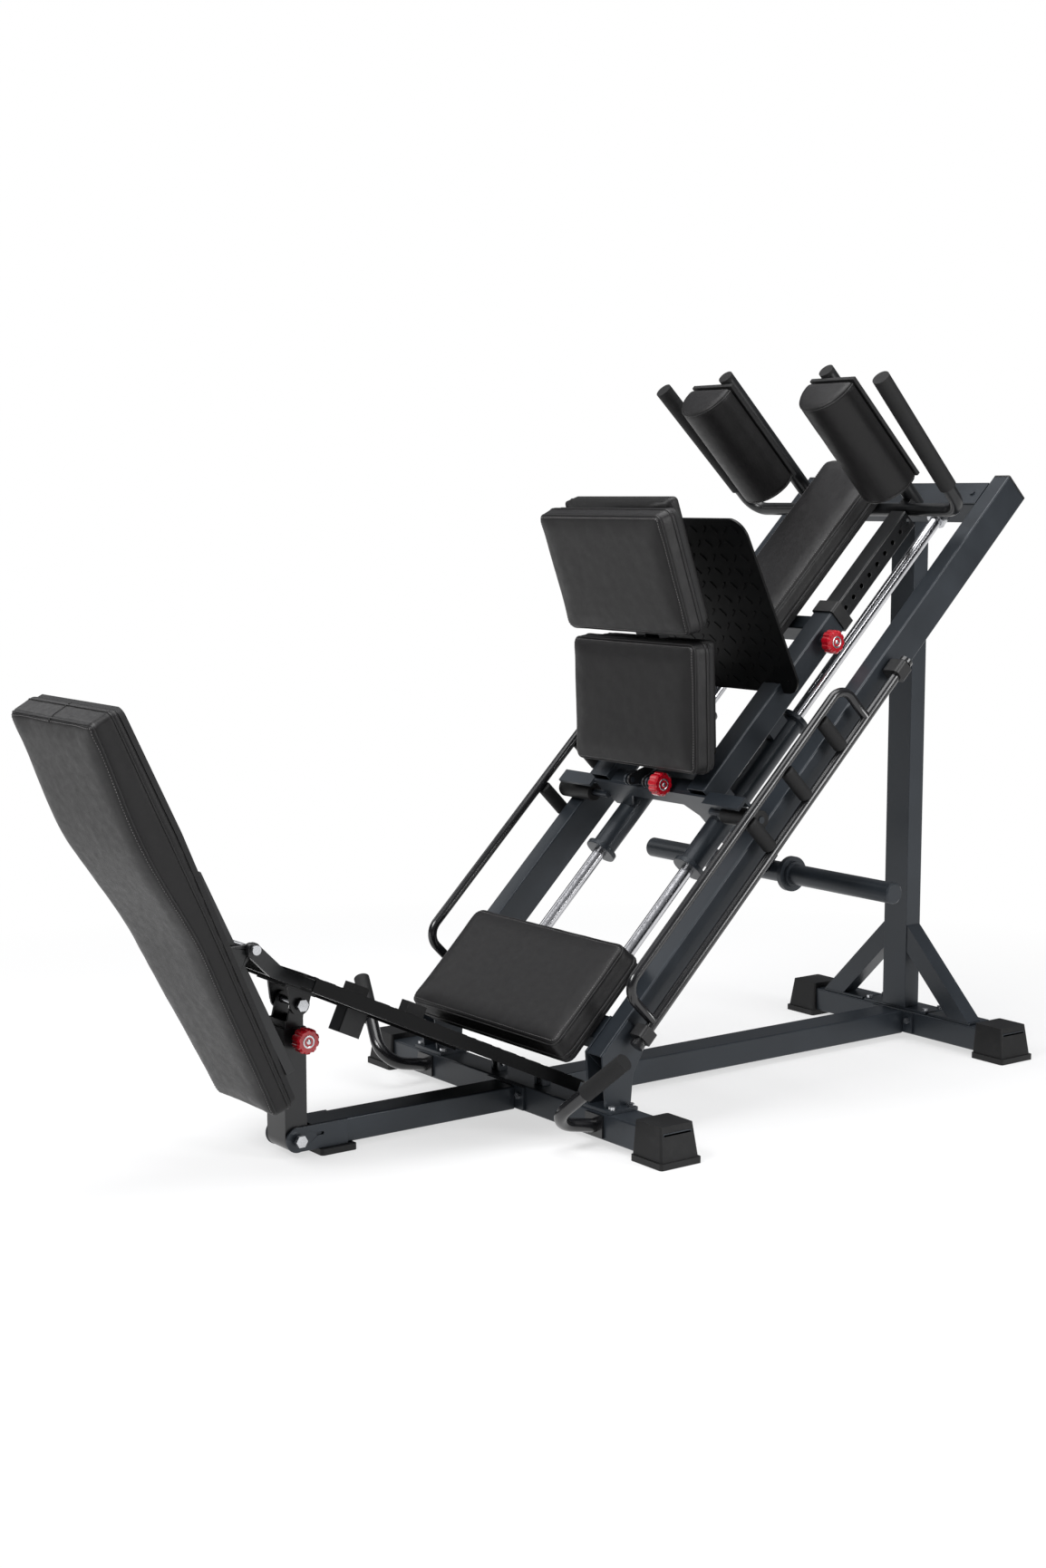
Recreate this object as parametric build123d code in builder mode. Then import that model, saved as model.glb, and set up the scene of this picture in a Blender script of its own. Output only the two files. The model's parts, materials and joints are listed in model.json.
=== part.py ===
"""Sled leg press and hack squat machine, built as separate pieces.

Frame: +X to the user's right hand side of the sled, +Y from the front foot to the rear post, +Z up.
The origin is on the floor, at the middle of the footprint.
"""
import os
from math import sqrt

from build123d import *

os.makedirs("parts", exist_ok=True)

# ---------------------------------------------------------------- driving dimensions, mm
SHIFT = -131.49           # Y of the front cross beam's shoe edge, from the middle of the footprint
GAP = 0.3                 # paint and assembly gap between faces that meet
WALL = 3.0                # steel tube wall
PLATE = 6.0               # steel plate

BEAM_W, BEAM_H = 80.0, 60.0           # base tubes
BEAM_Z = 44.0                         # centre height of the base tubes
BEAM_TOP = BEAM_Z + BEAM_H / 2
FRONT_Y, REAR_Y = 56.0, 1305.0        # centre lines of the cross beams
FRONT_HALF, REAR_HALF = 560.0, 376.0  # half lengths of the cross beams
SHOE_L, SHOE_D, SHOE_H = 104.0, 112.0, 88.0

RAIL_X, RAIL_W, RAIL_D = 325.0, 50.0, 80.0   # slanted side rails, 45 degrees
RAIL_P = 91.0                                # rail centre line, measured square to the slope
RAIL_LOW, RAIL_TOP = 150.0, 1916.0           # rail ends, measured up the slope
RAIL_DECK = RAIL_P + RAIL_D / 2              # upper face of the rails
RAIL_IN = RAIL_X - RAIL_W / 2
RAIL_OUT = RAIL_X + RAIL_W / 2

ROD_X, ROD_P, ROD_R = 163.0, 92.0, 15.0      # chrome guide rods
ROD_LOW, ROD_TOP = 250.0, 1826.0
HOUSING_R = 29.0                             # bearing housings that run on the rods
RUN = 0.05                                   # radial running clearance

POST_Y, POST_D, POST_W = 1290.0, 50.0, 80.0  # rear post

SLEEVE_X, SLEEVE_P, SLEEVE_W = 178.0, 190.0, 60.0   # carriage side tubes, which hold the yoke tubes
SLEEVE_LOW, SLEEVE_TOP = 815.0, 1385.0
YOKE_W, YOKE_LOW, YOKE_TOP = 50.0, 1180.0, 1716.0   # sliding yoke tubes
YOKE_S, YOKE_P, YOKE_R = 1736.0, 199.0, 16.0        # yoke cross tube
HORN_S, HORN_P, HORN_R, HORN_HALF = 916.0, -229.0, 25.0, 440.0

LOCK_X, LOCK_P, LOCK_R = 383.0, 92.0, 12.0          # lockout ladder, its hinge rod
LOCK_TOP_P = 206.0                                  # ladder's hand rail
LOCK_LOW, LOCK_HIGH = 282.0, 1172.0
RUNGS = (770.0, 922.0, 1072.0)

CATCH = (806.0, 154.0)                              # carriage's catch rollers (s, p), over the rails
CATCH_END, CATCH_AXLE = 364.0, 8.0

KNUCKLE = (-564.0, 41.0)                            # lower pivot of the front upright (y, z)
UPRIGHT_PIN = (-554.0, 334.0)                       # upper pivot of the front upright (y, z)
PLATFORM_SLOPE = 25.0
PLATFORM_Y, PLATFORM_Z = -554.0, 400.0              # a point on the foot plate's tread
PLATFORM_FRONT, PLATFORM_REAR = -108.0, 690.0       # foot plate ends, along its slope
PLATFORM_HALF = 240.0
REAR_PIVOT = (56.0, 93.0)                           # foot plate's rear pivot (y, z)
FLIP = (-196.0, 10.0)                               # back pad hinge, in the foot plate's own (along, up)

PAD_FOOT, PAD_HEAD = (-607.0, 142.0), (-1026.0, 1009.0)   # back face of the long back pad (y, z)
FOLD_S, FOLD_P = 804.7, 236.2                       # centre pad hinge
CENTRE_HALF = 228.0                                 # half width of the two centre pads
BOARD = 12.0                                        # plywood behind each pad

KNOB_R, KNOB_L = 28.0, 24.0
SIDES = ((1, "right"), (-1, "left"))


# ---------------------------------------------------------------- planes
def side(x):
    """Upright plane across the machine at x; sketch coordinates are (y, z)."""
    return Plane(origin=(x, SHIFT, 0), x_dir=(0, 1, 0), z_dir=(1, 0, 0))


def rail(x):
    """Upright plane at x; sketch coordinates run up the slope and square to it."""
    return Plane(origin=(x, SHIFT, 0), x_dir=(0, 1, 1), z_dir=(1, 0, 0))


def across(s):
    """Plane square to the slope at s; sketch (x, p), extruding down the slope."""
    step = s / sqrt(2)
    return Plane(origin=(0, SHIFT + step, step), x_dir=(1, 0, 0), z_dir=(0, -1, -1))


def deck(p):
    """Plane parallel to the rails' upper face; sketch (x, s), extruding away from the rails."""
    step = p / sqrt(2)
    return Plane(origin=(0, SHIFT - step, step), x_dir=(1, 0, 0), z_dir=(0, -1, 1))


def level(z):
    """Horizontal plane; sketch (x, y)."""
    return Plane(origin=(0, SHIFT, z), x_dir=(1, 0, 0), z_dir=(0, 0, 1))


def facing_front(y):
    """Upright plane across the machine's length; sketch (x, z), extruding to the front."""
    return Plane(origin=(0, SHIFT + y, 0), x_dir=(1, 0, 0), z_dir=(0, -1, 0))


def platform(x):
    """Upright plane at x; sketch coordinates run down the foot plate and square to its tread."""
    slope_dir = Vector(0, 1, 0).rotate(Axis.X, -PLATFORM_SLOPE)
    return Plane(origin=(x, SHIFT + PLATFORM_Y, PLATFORM_Z), x_dir=slope_dir, z_dir=(1, 0, 0))


def pad_plane(x):
    """Upright plane at x; sketch coordinates run up the long pad's board and out of its padded face."""
    (foot_y, foot_z), (head_y, head_z) = PAD_FOOT, PAD_HEAD
    origin = (x, SHIFT + foot_y, foot_z)
    return Plane(origin=origin, x_dir=(0, head_y - foot_y, head_z - foot_z), z_dir=(1, 0, 0))


def leaning(x, low, high):
    """Upright plane at x whose first sketch axis runs from low to high, both (y, z)."""
    direction = (0, high[0] - low[0], high[1] - low[1])
    return Plane(origin=(x, SHIFT + low[0], low[1]), x_dir=direction, z_dir=(1, 0, 0))


# ---------------------------------------------------------------- helpers used inside a part's block
def save(builder, label):
    builder.part.label = label
    export_step(builder.part, f"parts/{label}.step")


def bar(plane, centre, size, length, wall=0.0, radius=4.0):
    """Square or flat bar, hollow when it has a wall."""
    width, height = size
    with BuildSketch(plane) as outline:
        with Locations(centre):
            RectangleRounded(width, height, radius)
            if wall:
                inner = max(radius - wall, 0.8)
                RectangleRounded(width - 2 * wall, height - 2 * wall, inner, mode=Mode.SUBTRACT)
    extrude(outline.sketch, amount=length)


def block(plane, low, high, length):
    """Plain plate or block between two sketch corners."""
    with BuildSketch(plane) as outline:
        with Locations(((low[0] + high[0]) / 2, (low[1] + high[1]) / 2)):
            Rectangle(high[0] - low[0], high[1] - low[1])
    extrude(outline.sketch, amount=length)


def plate(plane, corners, thickness):
    with BuildSketch(plane) as outline:
        Polygon(*corners, align=None)
    extrude(outline.sketch, amount=thickness)


def rod(plane, centre, radius, length, mode=Mode.ADD):
    with BuildSketch(plane) as outline:
        with Locations(centre):
            Circle(radius)
    extrude(outline.sketch, amount=length, mode=mode)


def ring(plane, centre, outer, inner, length):
    with BuildSketch(plane) as outline:
        with Locations(centre):
            Circle(outer)
            Circle(inner, mode=Mode.SUBTRACT)
    extrude(outline.sketch, amount=length)


def hex_head(plane, centre, radius, height):
    with BuildSketch(plane) as outline:
        with Locations(centre):
            RegularPolygon(radius, 6)
    extrude(outline.sketch, amount=height)


def hex_bolt(plane, centre, radius, length, head=10.0):
    """Bolt along the plane's normal: shaft, hexagon head behind it and nut in front."""
    rod(plane, centre, radius, length)
    for offset in (-head, length):
        hex_head(plane.offset(offset), centre, radius * 1.75, head)


# ---------------------------------------------------------------- base frame
FLANGE = 6.0                                        # joint plates between the base beams
FRONT_FACE = FRONT_Y - BEAM_W / 2
FRONT_BACK = FRONT_Y + BEAM_W / 2
REAR_FACE = REAR_Y - BEAM_W / 2
CHEEK = 5.5                                         # plates either side of the front knuckle


def make_base():
    with BuildPart() as front_cross_beam:
        bar(side(-FRONT_HALF), (FRONT_Y, BEAM_Z), (BEAM_W, BEAM_H), 2 * FRONT_HALF, WALL)
    save(front_cross_beam, "front_cross_beam")

    with BuildPart() as rear_cross_beam:
        bar(side(-REAR_HALF), (REAR_Y, BEAM_Z), (BEAM_W, BEAM_H), 2 * REAR_HALF, WALL)
    save(rear_cross_beam, "rear_cross_beam")

    rear_start = REAR_FACE - FLANGE - 2 * GAP
    front_start = FRONT_FACE - FLANGE - 2 * GAP
    nose = KNUCKLE[0] + 39.0
    with BuildPart() as centre_beams:
        rear_length = rear_start - FRONT_BACK - FLANGE - 2 * GAP
        bar(facing_front(rear_start), (0, BEAM_Z), (BEAM_W, BEAM_H), rear_length, WALL)
        bar(facing_front(front_start), (0, BEAM_Z - 3), (BEAM_W, BEAM_H - 6), front_start - nose, WALL)
    save(centre_beams, "centre_beams")

    gusset_x = 190.0
    with BuildPart() as joint_plates:
        for y in (FRONT_FACE - GAP, FRONT_BACK + GAP + FLANGE, REAR_FACE - GAP):
            block(facing_front(y), (-72, BEAM_Z - 27), (72, BEAM_Z + 27), FLANGE)
        foot = BEAM_TOP + GAP
        block(level(foot), (-110, REAR_Y - 38), (110, REAR_Y + 38), FLANGE - GAP)
        for sign, _ in SIDES:
            low, high = (sign * gusset_x - 72, REAR_Y - 36), (sign * gusset_x + 72, REAR_Y + 36)
            block(level(foot), low, high, FLANGE - GAP)
    save(joint_plates, "joint_plates")

    with BuildPart() as pivot_brackets:
        cheek_end = -440.0
        for x in (BEAM_W / 2 + GAP, -BEAM_W / 2 - GAP - CHEEK):
            with BuildSketch(side(x)):
                with Locations(KNUCKLE):
                    Circle(28.0)
                with Locations(((KNUCKLE[0] + cheek_end) / 2, KNUCKLE[1])):
                    Rectangle(cheek_end - KNUCKLE[0], 54.0)
                with Locations(KNUCKLE):
                    Circle(8.1, mode=Mode.SUBTRACT)
                with Locations((KNUCKLE[0] + 55, KNUCKLE[1] + 6)):
                    SlotOverall(18, 7, mode=Mode.SUBTRACT)
            extrude(amount=CHEEK)
        ear_height = REAR_PIVOT[1] - BEAM_TOP - GAP
        for x in (92, -100, 68, -76):
            with BuildSketch(side(x)):
                with Locations((REAR_PIVOT[0], REAR_PIVOT[1] - ear_height / 2)):
                    Rectangle(24, ear_height)
                with Locations(REAR_PIVOT):
                    Circle(12)
                    Circle(6 + RUN, mode=Mode.SUBTRACT)
            extrude(amount=8)
    save(pivot_brackets, "pivot_brackets")


def make_shoes():
    """Rubber shoes which take the beams' ends: a flat lip on the floor under a tapering body."""
    lip, end = 14.0, 14.0
    with BuildPart() as floor_shoes:
        for beam_y, half in ((FRONT_Y, FRONT_HALF), (REAR_Y, REAR_HALF)):
            for sign, _ in SIDES:
                middle = sign * (half + end - SHOE_L / 2)
                with BuildSketch(level(0)):
                    with Locations((middle, beam_y)):
                        RectangleRounded(SHOE_L, SHOE_D, 7)
                extrude(amount=lip)
                with BuildSketch(level(lip)):
                    with Locations((middle - sign * 2, beam_y)):
                        RectangleRounded(SHOE_L - 6, SHOE_D - 8, 6)
                with BuildSketch(level(SHOE_H)):
                    with Locations((middle - sign * 7, beam_y)):
                        RectangleRounded(SHOE_L - 20, BEAM_W + 10, 5)
                loft()
            with BuildSketch(side(-half - GAP)):
                with Locations((beam_y, BEAM_Z)):
                    RectangleRounded(BEAM_W + 2 * GAP, BEAM_H + 2 * GAP, 4)
            extrude(amount=2 * (half + GAP), mode=Mode.SUBTRACT)
        with BuildSketch(level(0)):
            with Locations((0, -468)):
                RectangleRounded(116, 90, 8)
        extrude(amount=14.0 - GAP)
    save(floor_shoes, "floor_shoes")


def make_rails():
    with BuildPart() as side_rails:
        for sign, _ in SIDES:
            bar(across(RAIL_TOP), (sign * RAIL_X, RAIL_P), (RAIL_W, RAIL_D), RAIL_TOP - RAIL_LOW, WALL)
    save(side_rails, "side_rails")

    with BuildPart() as rail_feet:
        outline = ((24, 82.3), (94, 82.3), (100, 150), (140, 216), (84, 270), (14, 200))
        for sign, _ in SIDES:
            for x in (RAIL_OUT + GAP, RAIL_IN - GAP - PLATE):
                plate(side(x if sign > 0 else -x - PLATE), outline, PLATE)
            block(side(sign * RAIL_X - 55), (17, BEAM_TOP + GAP), (95, 82.4), 110)
            block(side(sign * RAIL_X - RAIL_W / 2 - 4), (66, 82), (72, 138), RAIL_W + 8)
    save(rail_feet, "rail_feet")

    with BuildPart() as rail_end_caps:
        for sign, _ in SIDES:
            bar(across(RAIL_TOP + 5), (sign * RAIL_X, RAIL_P), (RAIL_W, RAIL_D), 5 - GAP, 0, 4)
    save(rail_end_caps, "rail_end_caps")

    reach = 2 * (RAIL_IN - GAP)
    lower_reach = reach - 2 * (PLATE + GAP)
    with BuildPart() as rail_cross_members:
        bar(rail(-reach / 2), (1861, 95), (70, 66), reach, WALL)
        block(rail(-reach / 2), (1827, 95 + 33 + GAP), (1896, RAIL_DECK), reach)
        for x in (-270, 270):
            rod(deck(RAIL_DECK - 1), (x, 1861), 7, 5)
        bar(rail(-lower_reach / 2), (220, 98), (60, 64), lower_reach, WALL)
        bar(rail(-reach / 2), (365, 119), (50, 22), reach, 0, 2)
        for sign, _ in SIDES:
            rod(across(395), (sign * ROD_X, ROD_P), HOUSING_R + 2, 60, Mode.SUBTRACT)
    save(rail_cross_members, "rail_cross_members")


def make_rods():
    with BuildPart() as guide_rods:
        for sign, _ in SIDES:
            rod(across(ROD_TOP - GAP), (sign * ROD_X, ROD_P), ROD_R, ROD_TOP - ROD_LOW - 2 * GAP)
    save(guide_rods, "guide_rods")

    with BuildPart() as rod_end_collars:
        for top in (ROD_TOP - GAP, ROD_LOW + GAP + 24):
            for sign, _ in SIDES:
                ring(across(top), (sign * ROD_X, ROD_P), 24, ROD_R + RUN, 24)
    save(rod_end_collars, "rod_end_collars")

    with BuildPart() as rod_bumpers:
        for sign, _ in SIDES:
            ring(across(312), (sign * ROD_X, ROD_P), 26, ROD_R + RUN, 36)
    save(rod_bumpers, "rod_bumpers")


def make_rear():
    low, high = BEAM_TOP + FLANGE + GAP, 1392.0
    with BuildPart() as rear_post:
        front, back = POST_Y - POST_D / 2, POST_Y + POST_D / 2
        under_tube = (95 - 33 - GAP) * sqrt(2)
        upper = ((back, high), (high - under_tube, high), (front, front + under_tube))
        corners = ((front, low), (back, low), *upper)
        plate(side(-POST_W / 2), corners, POST_W)
        with BuildSketch(level(low)):
            with Locations((0, POST_Y)):
                Rectangle(POST_W - 2 * WALL, POST_D - 2 * WALL)
        extrude(amount=1250, mode=Mode.SUBTRACT)
    save(rear_post, "rear_post")

    with BuildPart() as rear_gussets:
        reach, width = 218.0, 70.0
        inner = POST_W / 2 + GAP
        for sign, _ in SIDES:
            corners = (
                (sign * inner, low + reach),
                (sign * inner, low + reach - width),
                (sign * (inner + reach - width), low),
                (sign * (inner + reach), low),
            )
            plate(facing_front(POST_Y + 23), corners, 46)
    save(rear_gussets, "rear_gussets")


def make_fasteners():
    with BuildPart() as frame_fasteners:
        for sign, _ in SIDES:
            for dx in (-46, 46):
                for y in (30, 82):
                    hex_head(level(82.7), (sign * RAIL_X + dx, y), 8, 7)
        for x in (-100, 100):
            for y in (REAR_Y - 26, REAR_Y + 28):
                hex_head(level(BEAM_TOP + FLANGE + GAP), (x, y), 8, 7)
        for face in (FRONT_FACE, REAR_FACE):
            for x in (-57, 57):
                hex_head(facing_front(face - FLANGE - 2 * GAP), (x, BEAM_Z + 6), 8, 7)
        hex_bolt(side(-54.0), KNUCKLE, 8.0, 108.0, 9.0)
        for x in (-104, 64):
            rod(side(x), REAR_PIVOT, 6, 40)
    save(frame_fasteners, "frame_fasteners")


# ---------------------------------------------------------------- seat
def make_seat():
    low, high = 104.0, 400.0
    with BuildPart() as seat_board:
        with BuildSketch(deck(RAIL_DECK + GAP)):
            with Locations((0, (low + high) / 2)):
                RectangleRounded(560, high - low - 16, 22)
        extrude(amount=BOARD)
    save(seat_board, "seat_board")

    with BuildPart() as seat_cushion:
        with BuildSketch(deck(RAIL_DECK + 2 * GAP + BOARD)):
            with Locations((0, (low + high) / 2)):
                RectangleRounded(584, high - low, 30)
        extrude(amount=62)
        fillet(faces().sort_by(Axis((0, 0, 0), (0, -1, 1)))[-1].edges(), 16)
    save(seat_cushion, "seat_cushion")


# ---------------------------------------------------------------- side handles
def make_side_handles():
    start, corner, end = (330.0, 12.0, 42.0), (330.0, -112.0, 66.0), (510.0, -52.0, 228.0)
    radius = 15.0
    with BuildPart() as side_handles:
        for sign, _ in SIDES:
            points = [(sign * x, SHIFT + y, z) for x, y, z in (start, corner, end)]
            with BuildLine():
                path = FilletPolyline(*points, radius=58)
            with BuildSketch(Plane(origin=path @ 0, z_dir=path % 0)):
                Circle(radius)
            sweep(path=path)
            block(facing_front(FRONT_FACE - GAP), (sign * 330 - 30, 19), (sign * 330 + 30, 69), 5)
    save(side_handles, "side_handles")

    with BuildPart() as side_handle_grips:
        for sign, _ in SIDES:
            top = Vector(sign * end[0], SHIFT + end[1], end[2])
            bend = Vector(sign * corner[0], SHIFT + corner[1], corner[2])
            along = (top - bend).normalized()
            grip_end = Plane(origin=top + along * 4, z_dir=-along)
            ring(grip_end, (0, 0), radius + 4, radius + RUN, 128)
            rod(grip_end, (0, 0), radius + 4, 4 - GAP)
    save(side_handle_grips, "side_handle_grips")


# ---------------------------------------------------------------- lockout ladders
def make_lockouts():
    block_out = LOCK_X + 17.0
    with BuildPart() as lockout_bearings:
        for sign, _ in SIDES:
            for s_high, length, inner in ((1338, 36, RAIL_OUT + GAP), (262, 30, RAIL_OUT + PLATE + 2 * GAP)):
                with BuildSketch(across(s_high)):
                    with Locations((sign * (inner + block_out) / 2, LOCK_P)):
                        RectangleRounded(block_out - inner, 40, 9)
                    with Locations((sign * LOCK_X, LOCK_P)):
                        Circle(LOCK_R + RUN, mode=Mode.SUBTRACT)
                extrude(amount=length)
    save(lockout_bearings, "lockout_bearings")

    foot = LOCK_P + LOCK_R + GAP
    rail_radius, grip_radius = 11.0, 17.0
    for sign, name in SIDES:
        x = sign * LOCK_X
        with BuildPart() as ladder:
            rod(across(1352), (x, LOCK_P), LOCK_R, 1352 - 222)
            for top in (1352, 224):
                rod(across(top), (x, LOCK_P), 16, 10)
            with BuildLine(rail(x)):
                path = FilletPolyline(
                    (LOCK_LOW, LOCK_P), (LOCK_LOW, LOCK_TOP_P),
                    (LOCK_HIGH, LOCK_TOP_P), (LOCK_HIGH, LOCK_P), radius=42
                )
            with BuildSketch(Plane(origin=path @ 0, z_dir=path % 0)):
                Circle(rail_radius)
            sweep(path=path)
        save(ladder, f"lockout_ladder_{name}")

        with BuildPart() as rungs:
            for s in RUNGS:
                rod(deck(foot), (x, s), grip_radius, LOCK_TOP_P - rail_radius - GAP - foot)
            fillet(rungs.edges().filter_by(GeomType.CIRCLE), grip_radius * 0.3)
        save(rungs, f"lockout_rungs_{name}")


# ---------------------------------------------------------------- front upright and foot plate
def make_upright():
    pin_y, pin_z = UPRIGHT_PIN
    base_y, base_z = KNUCKLE
    depth, half = 54.0, 38.0
    top = 284.0
    with BuildPart() as upright_sleeve:
        with BuildSketch(side(-half)):
            with Locations((base_y, (base_z + top) / 2)):
                Rectangle(depth, top - base_z)
            with Locations(KNUCKLE):
                Circle(depth / 2)
        extrude(amount=2 * half)
        with BuildSketch(level(78)):
            with Locations((0, base_y)):
                RectangleRounded(2 * (half - WALL), depth - 2 * WALL, 2)
        extrude(amount=top, mode=Mode.SUBTRACT)
        rod(side(-half), KNUCKLE, 8.0 + RUN, 2 * half, Mode.SUBTRACT)
        ring(side(half - 1), (base_y + 6, 262), 12, 5 + RUN, 17)
        rod(side(0), (base_y + 6, 262), 5 + RUN, half + 17, Mode.SUBTRACT)
    save(upright_sleeve, "upright_sleeve")

    with BuildPart() as upright_bumper:
        block(side(-22), (base_y - depth / 2 - 18.5, 148), (base_y - depth / 2 - GAP, 172), 44)
    save(upright_bumper, "upright_bumper")

    inner_half, inner_depth = half - WALL - 0.6, depth - 2 * WALL - 1.2
    with BuildPart() as upright_post:
        with BuildSketch(level(110)):
            with Locations((0, base_y)):
                RectangleRounded(2 * inner_half, inner_depth, 2)
                RectangleRounded(2 * inner_half - 6, inner_depth - 6, 1, mode=Mode.SUBTRACT)
        extrude(amount=190)
        for x in (-inner_half, inner_half - PLATE):
            outline = ((base_y - 20, 285), (base_y + 20, 285), (pin_y + 17, pin_z), (pin_y - 17, pin_z))
            plate(side(x), outline, PLATE)
            rod(side(x), UPRIGHT_PIN, 17, PLATE)
        rod(side(-inner_half), UPRIGHT_PIN, 9.2, 2 * inner_half, Mode.SUBTRACT)
        for step in range(4):
            rod(side(0), (base_y + 6, 262 - 30 * step), 6, half, Mode.SUBTRACT)
    save(upright_post, "upright_post")

    make_pull_pin("height_pin", side(half - 2.6), (base_y + 6, 262), 5.0, 19.5)


def make_pull_pin(label, plane, centre, radius, reach):
    """Spring-loaded pull pin: shaft and knob with finger grooves."""
    with BuildPart() as pull_pin:
        rod(plane, centre, radius, reach + 8)
        neck = plane.offset(reach + GAP)
        rod(neck, centre, 15, 8)
        with BuildSketch(neck.offset(6)):
            with Locations(centre):
                Circle(KNOB_R)
                with PolarLocations(KNOB_R + 3.4, 10):
                    Circle(5.6, mode=Mode.SUBTRACT)
        extrude(amount=KNOB_L)
        face = faces().sort_by(Axis((0, 0, 0), plane.z_dir))[-1]
        chamfer(face.edges(), 4)
        rod(neck.offset(6 + KNOB_L - 2), centre, 15, 2 + 0.5)
    save(pull_pin, label)


def tread_spots(rows, columns, pitch):
    """Centres of a checker plate's raised bars, turned one way and then the other."""
    spots = []
    for row in range(rows):
        for column in range(columns):
            across_x = (column - (columns - 1) / 2) * pitch
            along = (row - (rows - 1) / 2) * pitch
            spots.append((across_x, along, 45 if (row + column) % 2 else -45))
    return spots


def make_platform():
    length = PLATFORM_REAR - PLATFORM_FRONT
    middle = (PLATFORM_REAR + PLATFORM_FRONT) / 2
    slope = platform(0)
    skirt = 29.0
    tread = Plane(origin=slope.from_local_coords((middle, 0, 0)), x_dir=(1, 0, 0), z_dir=slope.y_dir)
    with BuildPart() as foot_platform:
        with BuildSketch(tread):
            RectangleRounded(2 * PLATFORM_HALF, length, 24)
        extrude(amount=-5)
        for sign, _ in SIDES:
            x = PLATFORM_HALF - 5 if sign > 0 else -PLATFORM_HALF
            block(platform(x), (PLATFORM_FRONT + 26, -skirt), (PLATFORM_REAR - 26, -4), 5)
        with BuildSketch(tread):
            for x, y, turn in tread_spots(21, 13, 36.0):
                with Locations(Location((x, y, 0), (0, 0, turn))):
                    SlotOverall(24, 7)
        extrude(amount=1.2)
    save(foot_platform, "foot_platform")

    pin_y, pin_z = UPRIGHT_PIN
    with BuildPart() as platform_frame:
        for x in (-130, 100):
            block(platform(x), (PLATFORM_FRONT + 20, -24), (PLATFORM_REAR - 90, -5 - GAP), 30)
        for x in (38.5, -44.5):
            with BuildSketch(side(x)):
                low = ((pin_y - 24, pin_z), (pin_y + 22, pin_z))
                Polygon(*low, (pin_y + 30, 362), (pin_y - 30, 384), align=None)
                with Locations(UPRIGHT_PIN):
                    Circle(23)
                    Circle(8.1, mode=Mode.SUBTRACT)
            extrude(amount=6)
        block(platform(-60), (-34, -35), (46, -skirt - GAP), 120)
        under = slope.from_local_coords((187, -skirt - GAP, 0))
        stop = Plane(origin=under, x_dir=(1, 0, 0), z_dir=-slope.y_dir)
        bar(stop, (0, 0), (44, 58), 56, 0, 3)
        y, z = REAR_PIVOT
        for x in (82, -90):
            with BuildSketch(side(x)):
                Polygon((y - 26, z + 25), (y - 11, z - 6), (y + 11, z - 6), (y + 14, z + 6.5), align=None)
                with Locations(REAR_PIVOT):
                    Circle(11)
                    Circle(6 + RUN, mode=Mode.SUBTRACT)
            extrude(amount=8)
        flip_u, flip_v = FLIP
        arm = (
            (-60, -30), (-60, -5.3), (PLATFORM_FRONT - 4, -5.3), (flip_u, flip_v + 14), (flip_u - 13, flip_v),
            (flip_u - 8, flip_v - 16), (PLATFORM_FRONT - 30, -30),
        )
        for x in (150, -160):
            plate(platform(x), arm, 10)
            rod(platform(x), FLIP, 14, 10)
            rod(platform(x), FLIP, 6 + RUN, 10, Mode.SUBTRACT)
    save(platform_frame, "platform_frame")

    with BuildPart() as platform_pivot_pins:
        rod(platform(-166), FLIP, 6, 332)
        for x in (-171, 161):
            rod(platform(x), FLIP, 10, 10)
        hex_bolt(side(-50), UPRIGHT_PIN, 8.0, 100, 8)
    save(platform_pivot_pins, "platform_pivot_pins")

    with BuildPart() as pad_rests:
        for x in (-130, 100):
            block(platform(x), (230, 1.3), (280, 28), 30)
    save(pad_rests, "pad_rests")


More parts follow.
